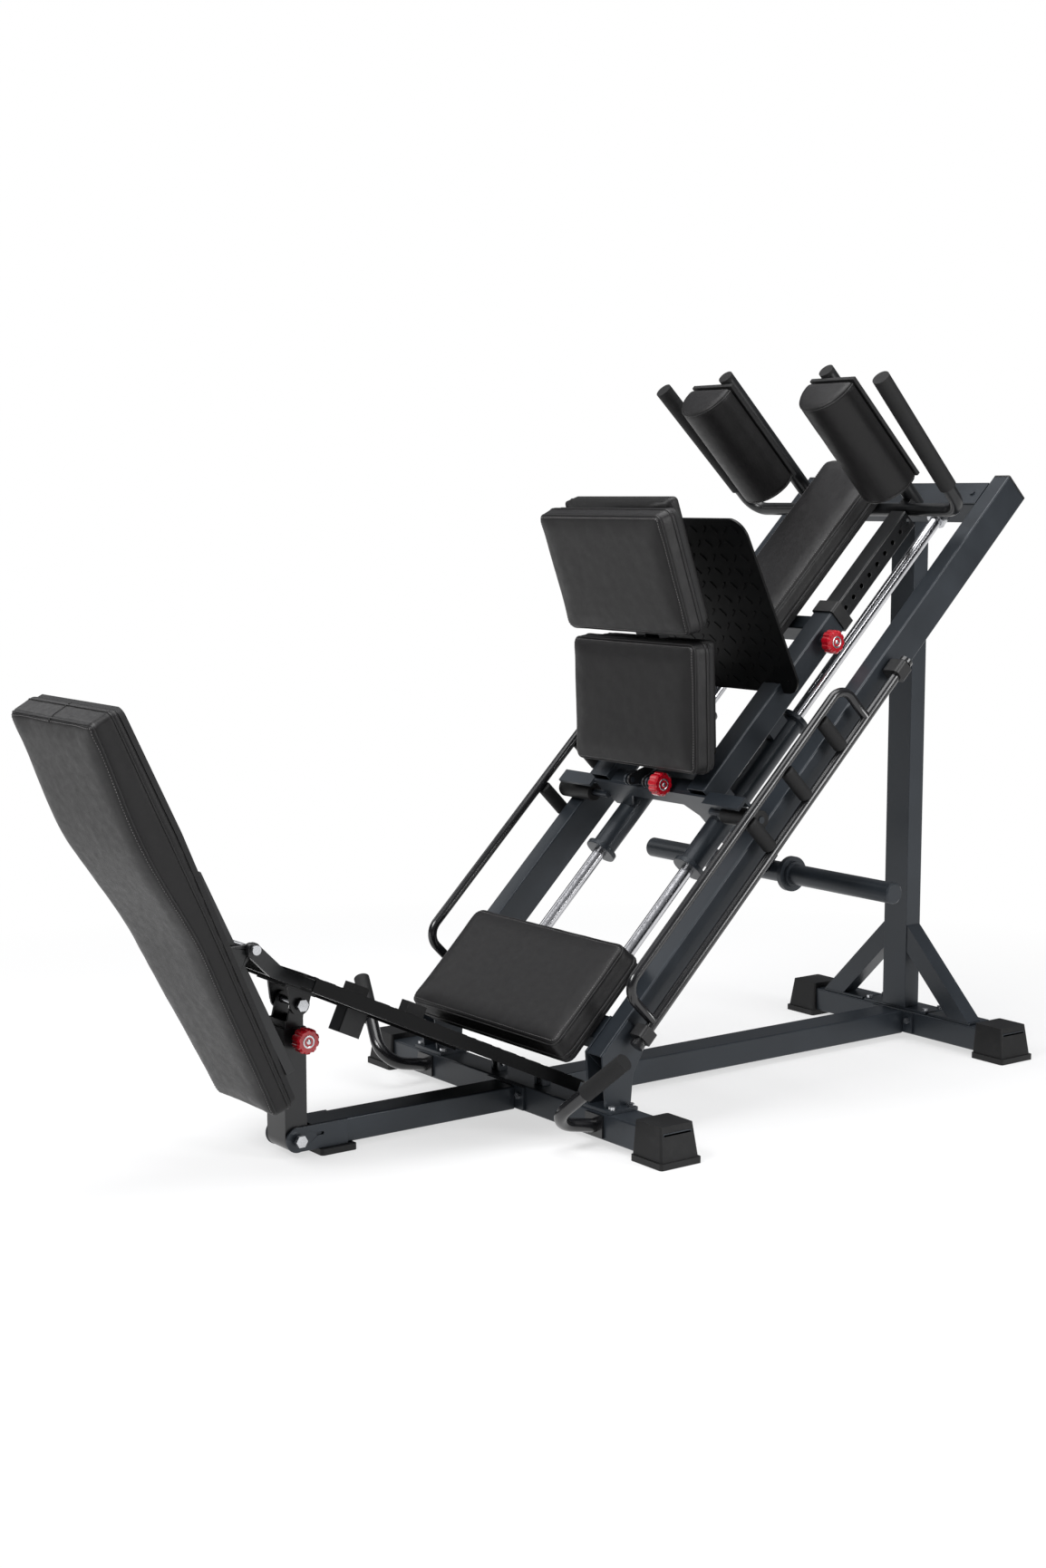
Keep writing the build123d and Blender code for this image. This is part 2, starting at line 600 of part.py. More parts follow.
# ---------------------------------------------------------------- long back pad
def make_back_rest():
    (foot_y, foot_z), (head_y, head_z) = PAD_FOOT, PAD_HEAD
    length = sqrt((head_y - foot_y) ** 2 + (head_z - foot_z) ** 2)
    waist, chest = 0.42 * length, 0.70 * length
    flat = pad_plane(0)
    out = flat.y_dir

    def outline(shrink, lift, thickness):
        """Pad shape seen from the front: straight upper part, narrowing in two steps to the foot."""
        face = Plane(origin=flat.from_local_coords((0, lift, 0)), x_dir=(1, 0, 0), z_dir=out)
        head, middle, foot = 196.0 - shrink, 168.0 - shrink, 130.0 - shrink
        right = ((foot, shrink), (middle, waist), (head, chest), (head, length - shrink))
        left = [(-x, y) for x, y in reversed(right)]
        with BuildSketch(face) as shape:
            Polygon(*right, *left, align=None)
            fillet(shape.vertices(), 18)
        extrude(shape.sketch, amount=thickness)

    with BuildPart() as back_pad_board:
        outline(8.0, 0.0, BOARD)
    save(back_pad_board, "back_pad_board")

    with BuildPart() as back_pad_cushion:
        outline(0.0, BOARD + GAP, 100.0)
        with BuildSketch(pad_plane(-200)):
            with BuildLine():
                Polyline((0, 130), (0, 62), (waist - 60, 64))
                Spline((waist - 60, 64), (waist + 20, 67), (length - 270, 94), (length, 80))
                Polyline((length, 80), (length, 130), (0, 130))
            make_face()
        extrude(amount=400, mode=Mode.SUBTRACT)
    save(back_pad_cushion, "back_pad_cushion")

    hinge = platform(0).from_local_coords((FLIP[0], FLIP[1], 0))
    local = pad_plane(0).to_local_coords(hinge)
    with BuildPart() as back_pad_frame:
        for x in (-134, 104):
            block(pad_plane(x), (78, -22), (length - 400, -GAP), 30)
        for low in (330, 500):
            block(pad_plane(-105), (low, -22), (low + 40, -GAP), 210)
        for x in (139, -147):
            with BuildSketch(pad_plane(x)):
                Polygon(
                    (local.X - 30, -GAP), (local.X + 30, -GAP),
                    (local.X + 11, local.Y), (local.X - 11, local.Y),
                    align=None,
                )
                with Locations((local.X, local.Y)):
                    Circle(12)
                    Circle(6 + RUN, mode=Mode.SUBTRACT)
            extrude(amount=8)
    save(back_pad_frame, "back_pad_frame")


# ---------------------------------------------------------------- sled
def pin_plane(sign):
    """Plane on a sleeve's outer face, its normal to the outside, and the pull pin's centre in it."""
    if sign > 0:
        return rail(SLEEVE_X + SLEEVE_W / 2), (1310, SLEEVE_P)
    mirrored = Plane(origin=rail(-SLEEVE_X - SLEEVE_W / 2).origin, x_dir=(0, 1, 1), z_dir=(-1, 0, 0))
    return mirrored, (1310, -SLEEVE_P)


def make_carriage():
    with BuildPart() as side_sleeves:
        for sign, _ in SIDES:
            x = sign * SLEEVE_X
            bar(across(SLEEVE_TOP), (x, SLEEVE_P), (SLEEVE_W, SLEEVE_W), SLEEVE_TOP - SLEEVE_LOW, WALL)
            plane, centre = pin_plane(sign)
            rod(plane, centre, 13, 14)
            rod(plane.offset(-8), centre, 5 + RUN, 30, Mode.SUBTRACT)
    save(side_sleeves, "side_sleeves")

    with BuildPart() as sleeve_collars:
        for sign, _ in SIDES:
            x = sign * SLEEVE_X
            with BuildSketch(across(SLEEVE_TOP + 22)):
                with Locations((x, SLEEVE_P)):
                    RectangleRounded(SLEEVE_W + 10, SLEEVE_W + 10, 6)
                    RectangleRounded(YOKE_W + 0.8, YOKE_W + 0.8, 3, mode=Mode.SUBTRACT)
            extrude(amount=22 - GAP)
            with BuildSketch(across(SLEEVE_TOP + 1)):
                with Locations((x, SLEEVE_P)):
                    RectangleRounded(SLEEVE_W + 10, SLEEVE_W + 10, 6)
                    RectangleRounded(SLEEVE_W + 2 * GAP, SLEEVE_W + 2 * GAP, 4, mode=Mode.SUBTRACT)
            extrude(amount=12)
    save(sleeve_collars, "sleeve_collars")

    with BuildPart() as bearing_housings:
        for sign, _ in SIDES:
            centre = (sign * ROD_X, ROD_P)
            rod(across(1132), centre, HOUSING_R, 442)
            for top in (1144, 690):
                rod(across(top), centre, 39, 12)
            rod(across(1150), centre, ROD_R + RUN, 480, Mode.SUBTRACT)
    save(bearing_housings, "bearing_housings")

    span = 2 * (SLEEVE_X - SLEEVE_W / 2 - GAP)
    inner_reach = 2 * (ROD_X - 29 - GAP)
    with BuildPart() as sled_cross_tubes:
        bar(rail(-span / 2), (835, 181.5), (40, 43), span, WALL)
        for s in (1225, 1350):
            bar(rail(-span / 2), (s, 185), (40, 50), span, WALL)
        bar(rail(-inner_reach / 2), (HORN_S, 92), (60, 52), inner_reach, WALL)
    save(sled_cross_tubes, "sled_cross_tubes")

    with BuildPart() as sled_brackets:
        for sign, _ in SIDES:
            for top in (885, 1116):
                low, high = (sign * ROD_X - 20, ROD_P + 29 + GAP), (sign * ROD_X + 20, 160 - GAP)
                block(across(top), low, high, 60)
            x_in, x_out = SLEEVE_X + SLEEVE_W / 2 + GAP, 332.0
            low_x, high_x = sorted((sign * x_in, sign * x_out))
            block(across(826), (low_x, 196), (high_x, 204), 34)
            block(across(826), (low_x, 178), (high_x, 197), 8)
            rod(rail(min(sign * 190, sign * CATCH_END)), CATCH, CATCH_AXLE, CATCH_END - 190)
        with BuildSketch(across(SLEEVE_LOW - GAP)):
            Polygon((-206, 203), (206, 203), (206, 175), (190, 118),
                    (130, 118), (96, 160), (-96, 160), (-130, 118),
                    (-190, 118), (-206, 175), align=None)
            with Locations((ROD_X, ROD_P), (-ROD_X, ROD_P)):
                Circle(29 + GAP, mode=Mode.SUBTRACT)
        extrude(amount=PLATE)
        for x in (36, -42):
            with BuildSketch(rail(x)):
                Polygon((819, 203 + GAP), (852, 203 + GAP),
                        (FOLD_S + 10, FOLD_P + 8), (FOLD_S - 10, FOLD_P - 8),
                        align=None)
                with Locations((FOLD_S, FOLD_P)):
                    Circle(13)
                    Circle(6 + RUN, mode=Mode.SUBTRACT)
            extrude(amount=PLATE)
        ring(rail(42), (FOLD_S, FOLD_P), 11, 6 + RUN, 18)
        rod(rail(-44), (FOLD_S, FOLD_P), 6, 22)
    save(sled_brackets, "sled_brackets")

    with BuildPart() as catch_rollers:
        for x in (244, 2 - CATCH_END):
            ring(rail(x), CATCH, 22, CATCH_AXLE + GAP, CATCH_END - 246)
    save(catch_rollers, "catch_rollers")

    with BuildPart() as weight_drop_tube:
        top, low = 66 - GAP, HORN_P + HORN_R + GAP
        bar(deck(low), (0, HORN_S), (80, 60), top - low, WALL)
    save(weight_drop_tube, "weight_drop_tube")

    with BuildPart() as weight_bar:
        rod(rail(-HORN_HALF), (HORN_S, HORN_P), HORN_R, 2 * HORN_HALF)
        ends = faces().filter_by(Axis.X).sort_by(Axis.X)
        chamfer(ends[0].edges() + ends[-1].edges(), 3)
        for x in (84, -98):
            rod(rail(x), (HORN_S, HORN_P), 43, 14)
        for x in (98, -108):
            rod(rail(x), (HORN_S, HORN_P), 32, 10)
    save(weight_bar, "weight_bar")

    make_foot_plate()
    make_sled_pad()
    make_centre_pads()


def make_foot_plate():
    """Upright foot plate over the sled, with its side gussets."""
    low, high = (667.0, 943.0), (472.0, 1349.0)
    slope = leaning(0, low, high)
    length = sqrt((high[0] - low[0]) ** 2 + (high[1] - low[1]) ** 2)
    front = Plane(origin=slope.from_local_coords((length / 2, 0, 0)), x_dir=(1, 0, 0), z_dir=slope.y_dir)
    with BuildPart() as press_plate:
        with BuildSketch(front) as shape:
            Rectangle(540, length)
            top = shape.vertices().group_by(Axis.Z)[-1]
            fillet(top, 46)
        extrude(amount=-6)
        with BuildSketch(front):
            for x, y, turn in tread_spots(12, 14, 36.0):
                with Locations(Location((x, y, 0), (0, 0, turn))):
                    SlotOverall(24, 7)
        extrude(amount=1.2)
        notch = SLEEVE_W + 2 * GAP
        with BuildSketch(across(SLEEVE_TOP)):
            with Locations((SLEEVE_X, SLEEVE_P), (-SLEEVE_X, SLEEVE_P)):
                Rectangle(notch, notch)
        extrude(amount=SLEEVE_TOP - SLEEVE_LOW, mode=Mode.SUBTRACT)
    save(press_plate, "press_plate")

    deck_p = SLEEVE_P + SLEEVE_W / 2 + GAP
    def behind_plate(u):
        """A point just behind the plate, u along it, in slope coordinates."""
        y = low[0] + (high[0] - low[0]) * u / length + 5.8
        z = low[1] + (high[1] - low[1]) * u / length + 2.8
        return ((y + z) / sqrt(2), (z - y) / sqrt(2))

    with BuildPart() as gussets:
        for x in (176, -184):
            corners = ((1158, deck_p), (1215, deck_p), behind_plate(260), behind_plate(45))
            plate(rail(x), corners, 8)
    save(gussets, "press_plate_gussets")


def make_sled_pad():
    """Narrow back pad of the sled."""
    low, high = 1180.0, 1835.0
    with BuildPart() as board:
        for s in (1225, 1350):
            block(deck(210 + GAP), (-60, s - 18), (60, s + 18), 12)
        with BuildSketch(deck(222)):
            with Locations((0, (low + high) / 2)):
                RectangleRounded(208, high - low - 14, 20)
        extrude(amount=BOARD)
    save(board, "sled_pad_board")

    with BuildPart() as cushion:
        with BuildSketch(deck(222 + BOARD + GAP)):
            with Locations((0, (low + high) / 2)):
                RectangleRounded(226, high - low, 26)
        extrude(amount=52)
        fillet(faces().sort_by(Axis((0, 0, 0), (0, -1, 1)))[-1].edges(), 14)
    save(cushion, "sled_pad_cushion")


def make_centre_pads():
    """Two pads in front of the foot plate, on a post that folds forward."""
    upper_low, upper_high = (363.0, 1080.0), (264.0, 1361.0)
    lower_low, lower_high = (382.0, 767.0), (372.0, 1073.0)
    depth = 62.0
    faces_of_pads = (("lower", lower_low, lower_high), ("upper", upper_low, upper_high))
    for label, low, high in faces_of_pads:
        slope = leaning(0, low, high)
        length = sqrt((high[0] - low[0]) ** 2 + (high[1] - low[1]) ** 2)
        middle = slope.from_local_coords((length / 2, BOARD + GAP - depth, 0))
        with BuildPart() as cushion:
            with BuildSketch(Plane(origin=middle, x_dir=(1, 0, 0), z_dir=slope.y_dir)):
                RectangleRounded(2 * CENTRE_HALF, length, 24)
            extrude(amount=depth - BOARD - GAP)
            fillet(faces().sort_by(Axis((0, 0, 0), slope.y_dir))[-1].edges(), 12)
        save(cushion, f"centre_cushion_{label}")

    with BuildPart() as boards:
        for label, low, high in faces_of_pads:
            slope = leaning(0, low, high)
            length = sqrt((high[0] - low[0]) ** 2 + (high[1] - low[1]) ** 2)
            middle = slope.from_local_coords((length / 2, -depth, 0))
            with BuildSketch(Plane(origin=middle, x_dir=(1, 0, 0), z_dir=slope.y_dir)):
                RectangleRounded(2 * CENTRE_HALF - 14, length - 14, 20)
            extrude(amount=BOARD)
    save(boards, "centre_pad_boards")

    with BuildPart() as pad_post:
        lean = (upper_high[0] - upper_low[0]) / (upper_high[1] - upper_low[1])
        thick, knee, foot, rise = 26.0, 1085.0, 790.0, 230.0
        back_low = lower_low[0] + depth + 5.5
        back_up = upper_low[0] + depth + 7.5
        tip, tip_z = back_up + lean * rise, knee + 4 + rise
        corners = ((back_low, foot), (back_low - 6, knee - 20), (back_up, knee + 4), (tip, tip_z),
                   (tip + thick, tip_z), (back_up + thick + 4, knee + 4), (back_low + thick, knee - 20),
                   (back_low + thick, foot))
        plate(side(-25), corners, 50)
        for x in (24, -30):
            front_edge = ((800, 223.5), (857, 207), (905, 212), (930, 262))
            outline = (*front_edge, (892, 262), (876, 234), (862, 223), (812, 248.5))
            plate(rail(x), outline, PLATE)
            rod(rail(x), (FOLD_S, FOLD_P), 13, PLATE)
        rod(rail(-34), (FOLD_S, FOLD_P), 6 + RUN, 68, Mode.SUBTRACT)
    save(pad_post, "centre_pad_post")
    make_pull_pin("fold_lock_pin", rail(22), (FOLD_S, FOLD_P), 6.0, 38.5)


# ---------------------------------------------------------------- sliding shoulder yoke
def make_yoke():
    outer_x, handle_top = 364.0, 618.0
    support_s = YOKE_S + YOKE_R + 21 + GAP
    with BuildPart() as yoke_bar:
        with BuildLine():
            points = []
            left = ((-outer_x - 20, handle_top), (-outer_x, YOKE_P))
            for x, p in (*left, (outer_x, YOKE_P), (outer_x + 20, handle_top)):
                points.append(rail(x).from_local_coords((YOKE_S, p, 0)))
            path = FilletPolyline(*points, radius=48)
        with BuildSketch(Plane(origin=path @ 0, z_dir=path % 0)):
            Circle(YOKE_R)
        sweep(path=path)
        for sign, _ in SIDES:
            rod(deck(YOKE_P - 18), (sign * SLEEVE_X, support_s), 19, handle_top - YOKE_P + 14)
            block(deck(YOKE_P - 15), (sign * SLEEVE_X - 15, YOKE_S), (sign * SLEEVE_X + 15, support_s), 30)
    save(yoke_bar, "yoke_bar")

    with BuildPart() as yoke_tubes:
        for sign, _ in SIDES:
            x = sign * SLEEVE_X
            bar(across(YOKE_TOP), (x, SLEEVE_P), (YOKE_W, YOKE_W), YOKE_TOP - YOKE_LOW, 2.5)
            for step in range(14):
                rod(rail(x), (1238 + 36 * step, SLEEVE_P), 6, sign * 40, Mode.SUBTRACT)
    save(yoke_tubes, "yoke_tubes")

    back = YOKE_S + YOKE_R + 2 - GAP
    with BuildPart() as shoulder_pad_boards:
        for sign, _ in SIDES:
            low_x, high_x = sorted((sign * 140, sign * 285))
            block(across(back), (low_x, 306), (high_x, 616), 10)
    save(shoulder_pad_boards, "shoulder_pad_boards")

    with BuildPart() as shoulder_pads:
        flat = back - 10 - GAP
        half, drop, shoulder = 77.5, 100.0, 34.0
        for sign, _ in SIDES:
            middle = sign * 212.5
            with BuildSketch(deck(300)):
                with BuildLine():
                    Polyline((middle - half, flat - shoulder), (middle - half, flat), (middle + half, flat),
                             (middle + half, flat - shoulder))
                    ThreePointArc((middle + half, flat - shoulder), (middle, flat - drop),
                                  (middle - half, flat - shoulder))
                make_face()
            extrude(amount=321)
    save(shoulder_pads, "shoulder_pads")

    with BuildPart() as yoke_grips:
        for sign, _ in SIDES:
            start = rail(sign * outer_x).from_local_coords((YOKE_S, YOKE_P, 0))
            end = rail(sign * (outer_x + 20)).from_local_coords((YOKE_S, handle_top, 0))
            along = (end - start).normalized()
            grip_end = Plane(origin=end + along * 5, z_dir=-along)
            ring(grip_end, (0, 0), 21, YOKE_R + RUN, 346)
            rod(grip_end, (0, 0), 21, 5 - GAP)
            rod(deck(handle_top - 4 + GAP), (sign * SLEEVE_X, support_s), 19, 8)
    save(yoke_grips, "yoke_grips")

    for sign, name in SIDES:
        plane, centre = pin_plane(sign)
        make_pull_pin(f"yoke_pin_{name}", plane.offset(-4.4), centre, 5.0, 19.4)


def main():
    make_base()
    make_shoes()
    make_rails()
    make_rods()
    make_rear()
    make_fasteners()
    make_seat()
    make_side_handles()
    make_lockouts()
    make_upright()
    make_platform()
    make_back_rest()
    make_carriage()
    make_yoke()


main()
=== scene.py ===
"""Looks for the sled leg press and hack squat machine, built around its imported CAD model. Metres."""
import json
import math

import bmesh
import bpy
import numpy as np
from mathutils import Matrix, Vector, noise
from mathutils.bvhtree import BVHTree
from mathutils.kdtree import KDTree


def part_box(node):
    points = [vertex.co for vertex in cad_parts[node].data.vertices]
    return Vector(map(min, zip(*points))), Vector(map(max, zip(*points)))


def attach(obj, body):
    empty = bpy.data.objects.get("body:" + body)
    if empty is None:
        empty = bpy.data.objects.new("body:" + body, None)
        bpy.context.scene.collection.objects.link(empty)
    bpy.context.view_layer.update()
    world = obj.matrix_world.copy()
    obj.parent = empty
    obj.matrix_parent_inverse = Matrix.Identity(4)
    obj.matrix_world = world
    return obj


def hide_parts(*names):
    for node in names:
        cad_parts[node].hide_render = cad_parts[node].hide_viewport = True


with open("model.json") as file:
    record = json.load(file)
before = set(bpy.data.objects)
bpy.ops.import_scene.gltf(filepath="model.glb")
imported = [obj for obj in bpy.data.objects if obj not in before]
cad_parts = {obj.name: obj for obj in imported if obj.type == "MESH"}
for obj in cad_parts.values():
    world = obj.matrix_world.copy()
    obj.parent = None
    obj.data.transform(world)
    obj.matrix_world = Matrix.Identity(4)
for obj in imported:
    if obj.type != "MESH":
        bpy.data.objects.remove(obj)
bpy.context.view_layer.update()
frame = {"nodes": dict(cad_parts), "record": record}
nodes = frame["nodes"]

ROOT2 = math.sqrt(2)
SHIFT = -0.13149         # Y of the front beam's shoe edge, as in the CAD
GAP = 0.0003
BOARD = 0.012


# ---------------------------------------------------------------- planes of the CAD
def slope_point(x, s, p):
    """x, distance up the slope and height square to it, as a point."""
    return Vector((x, SHIFT + (s - p) / ROOT2, (s + p) / ROOT2))


def basis(origin, ex, ey, ez):
    m = Matrix.Identity(4)
    for i, v in enumerate((ex, ey, ez, origin)):
        m.col[i][:3] = v
    return m


def on_slope(s, p):
    return basis(slope_point(0, s, p), (1, 0, 0), (0, 1 / ROOT2, 1 / ROOT2), (0, -1 / ROOT2, 1 / ROOT2))


def leaning(low, high, back):
    """Frame of a pad that stands from low to high (y, z), its face turned to the front; back is its rear."""
    y0, z0 = low
    y1, z1 = high
    along = Vector((0, y1 - y0, z1 - z0))
    length = along.length
    along.normalize()
    out = Vector((1, 0, 0)).cross(along)
    origin = Vector((0, SHIFT + y0, z0)) + along * length / 2 + out * back
    return basis(origin, (1, 0, 0), along, out), length


# ---------------------------------------------------------------- materials
def scaled(colour, factor, lift=0.0):
    return tuple(min(1.0, c * factor + lift) for c in colour)


def make_material(name, base, rough, metallic=0.0, spec=0.5, coat=0.0, coat_rough=0.2):
    mat = bpy.data.materials.new(name)
    mat.use_nodes = True
    tree = mat.node_tree
    shader = tree.nodes["Principled BSDF"]
    shader.inputs["Base Color"].default_value = (*base, 1)
    shader.inputs["Roughness"].default_value = rough
    shader.inputs["Metallic"].default_value = metallic
    shader.inputs["Specular IOR Level"].default_value = spec
    shader.inputs["Coat Weight"].default_value = coat
    shader.inputs["Coat Roughness"].default_value = coat_rough
    coord = tree.nodes.new("ShaderNodeTexCoord")
    return mat, tree, shader, coord.outputs["Object"]


def add_noise(tree, coord, scale, detail=3.0, rough=0.5, stretch=None):
    node = tree.nodes.new("ShaderNodeTexNoise")
    node.inputs["Scale"].default_value = scale
    node.inputs["Detail"].default_value = detail
    node.inputs["Roughness"].default_value = rough
    if stretch:
        mapping = tree.nodes.new("ShaderNodeMapping")
        mapping.inputs["Scale"].default_value = stretch
        tree.links.new(coord, mapping.inputs["Vector"])
        coord = mapping.outputs["Vector"]
    tree.links.new(coord, node.inputs["Vector"])
    return node.outputs["Fac"]


def add_ramp(tree, fac, stops):
    node = tree.nodes.new("ShaderNodeValToRGB")
    ramp = node.color_ramp
    while len(ramp.elements) < len(stops):
        ramp.elements.new(0.5)
    for element, (pos, colour) in zip(ramp.elements, stops):
        element.position = pos
        element.color = (*colour, 1)
    tree.links.new(fac, node.inputs["Fac"])
    return node.outputs["Color"]


def add_range(tree, value, low, high, from_low=0.3, from_high=0.7):
    node = tree.nodes.new("ShaderNodeMapRange")
    node.inputs["From Min"].default_value = from_low
    node.inputs["From Max"].default_value = from_high
    node.inputs["To Min"].default_value = low
    node.inputs["To Max"].default_value = high
    tree.links.new(value, node.inputs["Value"])
    return node.outputs["Result"]


def add_bump(tree, shader, layers):
    """Layers are (height output, distance in metres, strength), the finest last."""
    normal = None
    for height, distance, strength in layers:
        node = tree.nodes.new("ShaderNodeBump")
        node.inputs["Distance"].default_value = distance
        node.inputs["Strength"].default_value = strength
        tree.links.new(height, node.inputs["Height"])
        if normal:
            tree.links.new(normal, node.inputs["Normal"])
        normal = node.outputs["Normal"]
    tree.links.new(normal, shader.inputs["Normal"])


def worn_edges(tree, colour, worn, amount=0.25):
    """Mixes a lighter colour in along the convex edges."""
    geometry = tree.nodes.new("ShaderNodeNewGeometry")
    edge = add_range(tree, geometry.outputs["Pointiness"], 0.0, amount, 0.53, 0.62)
    mix = tree.nodes.new("ShaderNodeMix")
    mix.data_type = "RGBA"
    tree.links.new(edge, mix.inputs["Factor"])
    tree.links.new(colour, mix.inputs["A"])
    mix.inputs["B"].default_value = (*worn, 1)
    return mix.outputs["Result"]


def paint(name, base, rough, metallic, coat=0.0, spec=0.5, peel=0.06):
    """Powder coat: faint orange peel, a fine metallic fleck and slightly rubbed edges."""
    mat, tree, shader, coord = make_material(name, base, rough, metallic, spec, coat, 0.18)
    fleck = add_noise(tree, coord, 1500, 2, 0.6)
    cloud = add_noise(tree, coord, 6, 4, 0.55)
    colour = add_ramp(tree, cloud, ((0.32, scaled(base, 0.82)), (0.52, base), (0.72, scaled(base, 1.22))))
    speck = tree.nodes.new("ShaderNodeMix")
    speck.data_type = "RGBA"
    tree.links.new(add_range(tree, fleck, 0.0, 0.12, 0.62, 0.8), speck.inputs["Factor"])
    tree.links.new(colour, speck.inputs["A"])
    speck.inputs["B"].default_value = (*scaled(base, 2.2, metallic * 0.06), 1)
    worn = scaled(base, 1.9, 0.008)
    tree.links.new(worn_edges(tree, speck.outputs["Result"], worn), shader.inputs["Base Color"])
    tree.links.new(add_range(tree, cloud, rough - 0.05, rough + 0.07), shader.inputs["Roughness"])
    add_bump(tree, shader, ((add_noise(tree, coord, 420, 2, 0.5), 0.0004, peel), (fleck, 0.0002, peel * 0.2)))
    return mat


def leather(name, base, rough):
    """Upholstery vinyl: pebbled grain, fine creases and a slow change of tone."""
    mat, tree, shader, coord = make_material(name, base, rough, 0.0, 0.31)
    cells = tree.nodes.new("ShaderNodeTexVoronoi")
    cells.feature = "DISTANCE_TO_EDGE"
    cells.inputs["Scale"].default_value = 520
    warp = tree.nodes.new("ShaderNodeTexNoise")
    warp.inputs["Scale"].default_value = 90
    tree.links.new(coord, warp.inputs["Vector"])
    shift = tree.nodes.new("ShaderNodeMixRGB")
    shift.inputs["Fac"].default_value = 0.012
    tree.links.new(coord, shift.inputs["Color1"])
    tree.links.new(warp.outputs["Color"], shift.inputs["Color2"])
    tree.links.new(shift.outputs["Color"], cells.inputs["Vector"])
    grain = add_range(tree, cells.outputs["Distance"], 0.0, 1.0, 0.0, 0.22)
    cloud = add_noise(tree, coord, 9, 4, 0.6)
    creases = add_noise(tree, coord, 55, 5, 0.65, (1.0, 1.6, 1.0))
    tone = add_ramp(tree, cloud, ((0.3, scaled(base, 0.90)), (0.5, base), (0.72, scaled(base, 1.10))))
    mix = tree.nodes.new("ShaderNodeMix")
    mix.data_type = "RGBA"
    tree.links.new(add_range(tree, grain, 0.45, 0.0, 0.0, 0.5), mix.inputs["Factor"])
    tree.links.new(tone, mix.inputs["A"])
    mix.inputs["B"].default_value = (*scaled(base, 0.5), 1)
    tree.links.new(mix.outputs["Result"], shader.inputs["Base Color"])
    tree.links.new(add_range(tree, creases, rough - 0.05, rough + 0.06), shader.inputs["Roughness"])
    add_bump(tree, shader, ((creases, 0.0010, 0.08), (grain, 0.0004, 0.18)))
    return mat


def rubber(name, base, rough, grain=700, depth=0.4):
    """Moulded rubber or foam: a fine matt grain with a little dust in it."""
    mat, tree, shader, coord = make_material(name, base, rough, 0.0, 0.35)
    fine = add_noise(tree, coord, grain, 4, 0.7)
    cloud = add_noise(tree, coord, 12, 4, 0.6)
    dusty = scaled(base, 1.7, 0.006)
    colour = add_ramp(tree, cloud, ((0.35, scaled(base, 0.8)), (0.55, base), (0.75, dusty)))
    tree.links.new(worn_edges(tree, colour, dusty, 0.5), shader.inputs["Base Color"])
    tree.links.new(add_range(tree, fine, rough - 0.08, rough + 0.08), shader.inputs["Roughness"])
    add_bump(tree, shader, ((cloud, 0.001, 0.1), (fine, 0.0004, depth)))
    return mat


def plastic(name, base, rough, coat=0.0, grain=900, depth=0.12):
    """Moulded plastic: even colour with flow marks and a fine texture."""
    mat, tree, shader, coord = make_material(name, base, rough, 0.0, 0.5, coat, 0.08)
    cloud = add_noise(tree, coord, 30, 3, 0.5)
    colour = add_ramp(tree, cloud, ((0.3, scaled(base, 0.85)), (0.6, base), (0.8, scaled(base, 1.1))))
    rubbed = scaled(base, 1.5, 0.02)
    tree.links.new(worn_edges(tree, colour, rubbed, 0.3), shader.inputs["Base Color"])
    tree.links.new(add_range(tree, cloud, rough - 0.04, rough + 0.06), shader.inputs["Roughness"])
    add_bump(tree, shader, ((add_noise(tree, coord, grain, 2, 0.5), 0.0003, depth),))
    return mat


def metal(name, base, rough, stretch=(1, 1, 1), scale=300, depth=0.1):
    """Bare or plated metal: drawn or ground marks and slight tarnish."""
    mat, tree, shader, coord = make_material(name, base, rough, 1.0)
    marks = add_noise(tree, coord, scale, 3, 0.6, stretch)
    cloud = add_noise(tree, coord, 14, 4, 0.6)
    colour = add_ramp(tree, cloud, ((0.3, scaled(base, 0.78)), (0.55, base), (0.8, scaled(base, 1.06))))
    tree.links.new(colour, shader.inputs["Base Color"])
    tree.links.new(add_range(tree, marks, max(0.02, rough - 0.05), rough + 0.08), shader.inputs["Roughness"])
    add_bump(tree, shader, ((marks, 0.0002, depth),))
    return mat


def board(name, base):
    """Painted plywood back of a pad: faint grain under the paint."""
    mat, tree, shader, coord = make_material(name, base, 0.62, 0.0, 0.4)
    grain = add_noise(tree, coord, 18, 6, 0.7, (9, 1, 1))
    colour = add_ramp(tree, grain, ((0.3, scaled(base, 0.7)), (0.7, scaled(base, 1.25))))
    tree.links.new(colour, shader.inputs["Base Color"])
    tree.links.new(add_range(tree, grain, 0.55, 0.72), shader.inputs["Roughness"])
    add_bump(tree, shader, ((grain, 0.0005, 0.2),))
    return mat


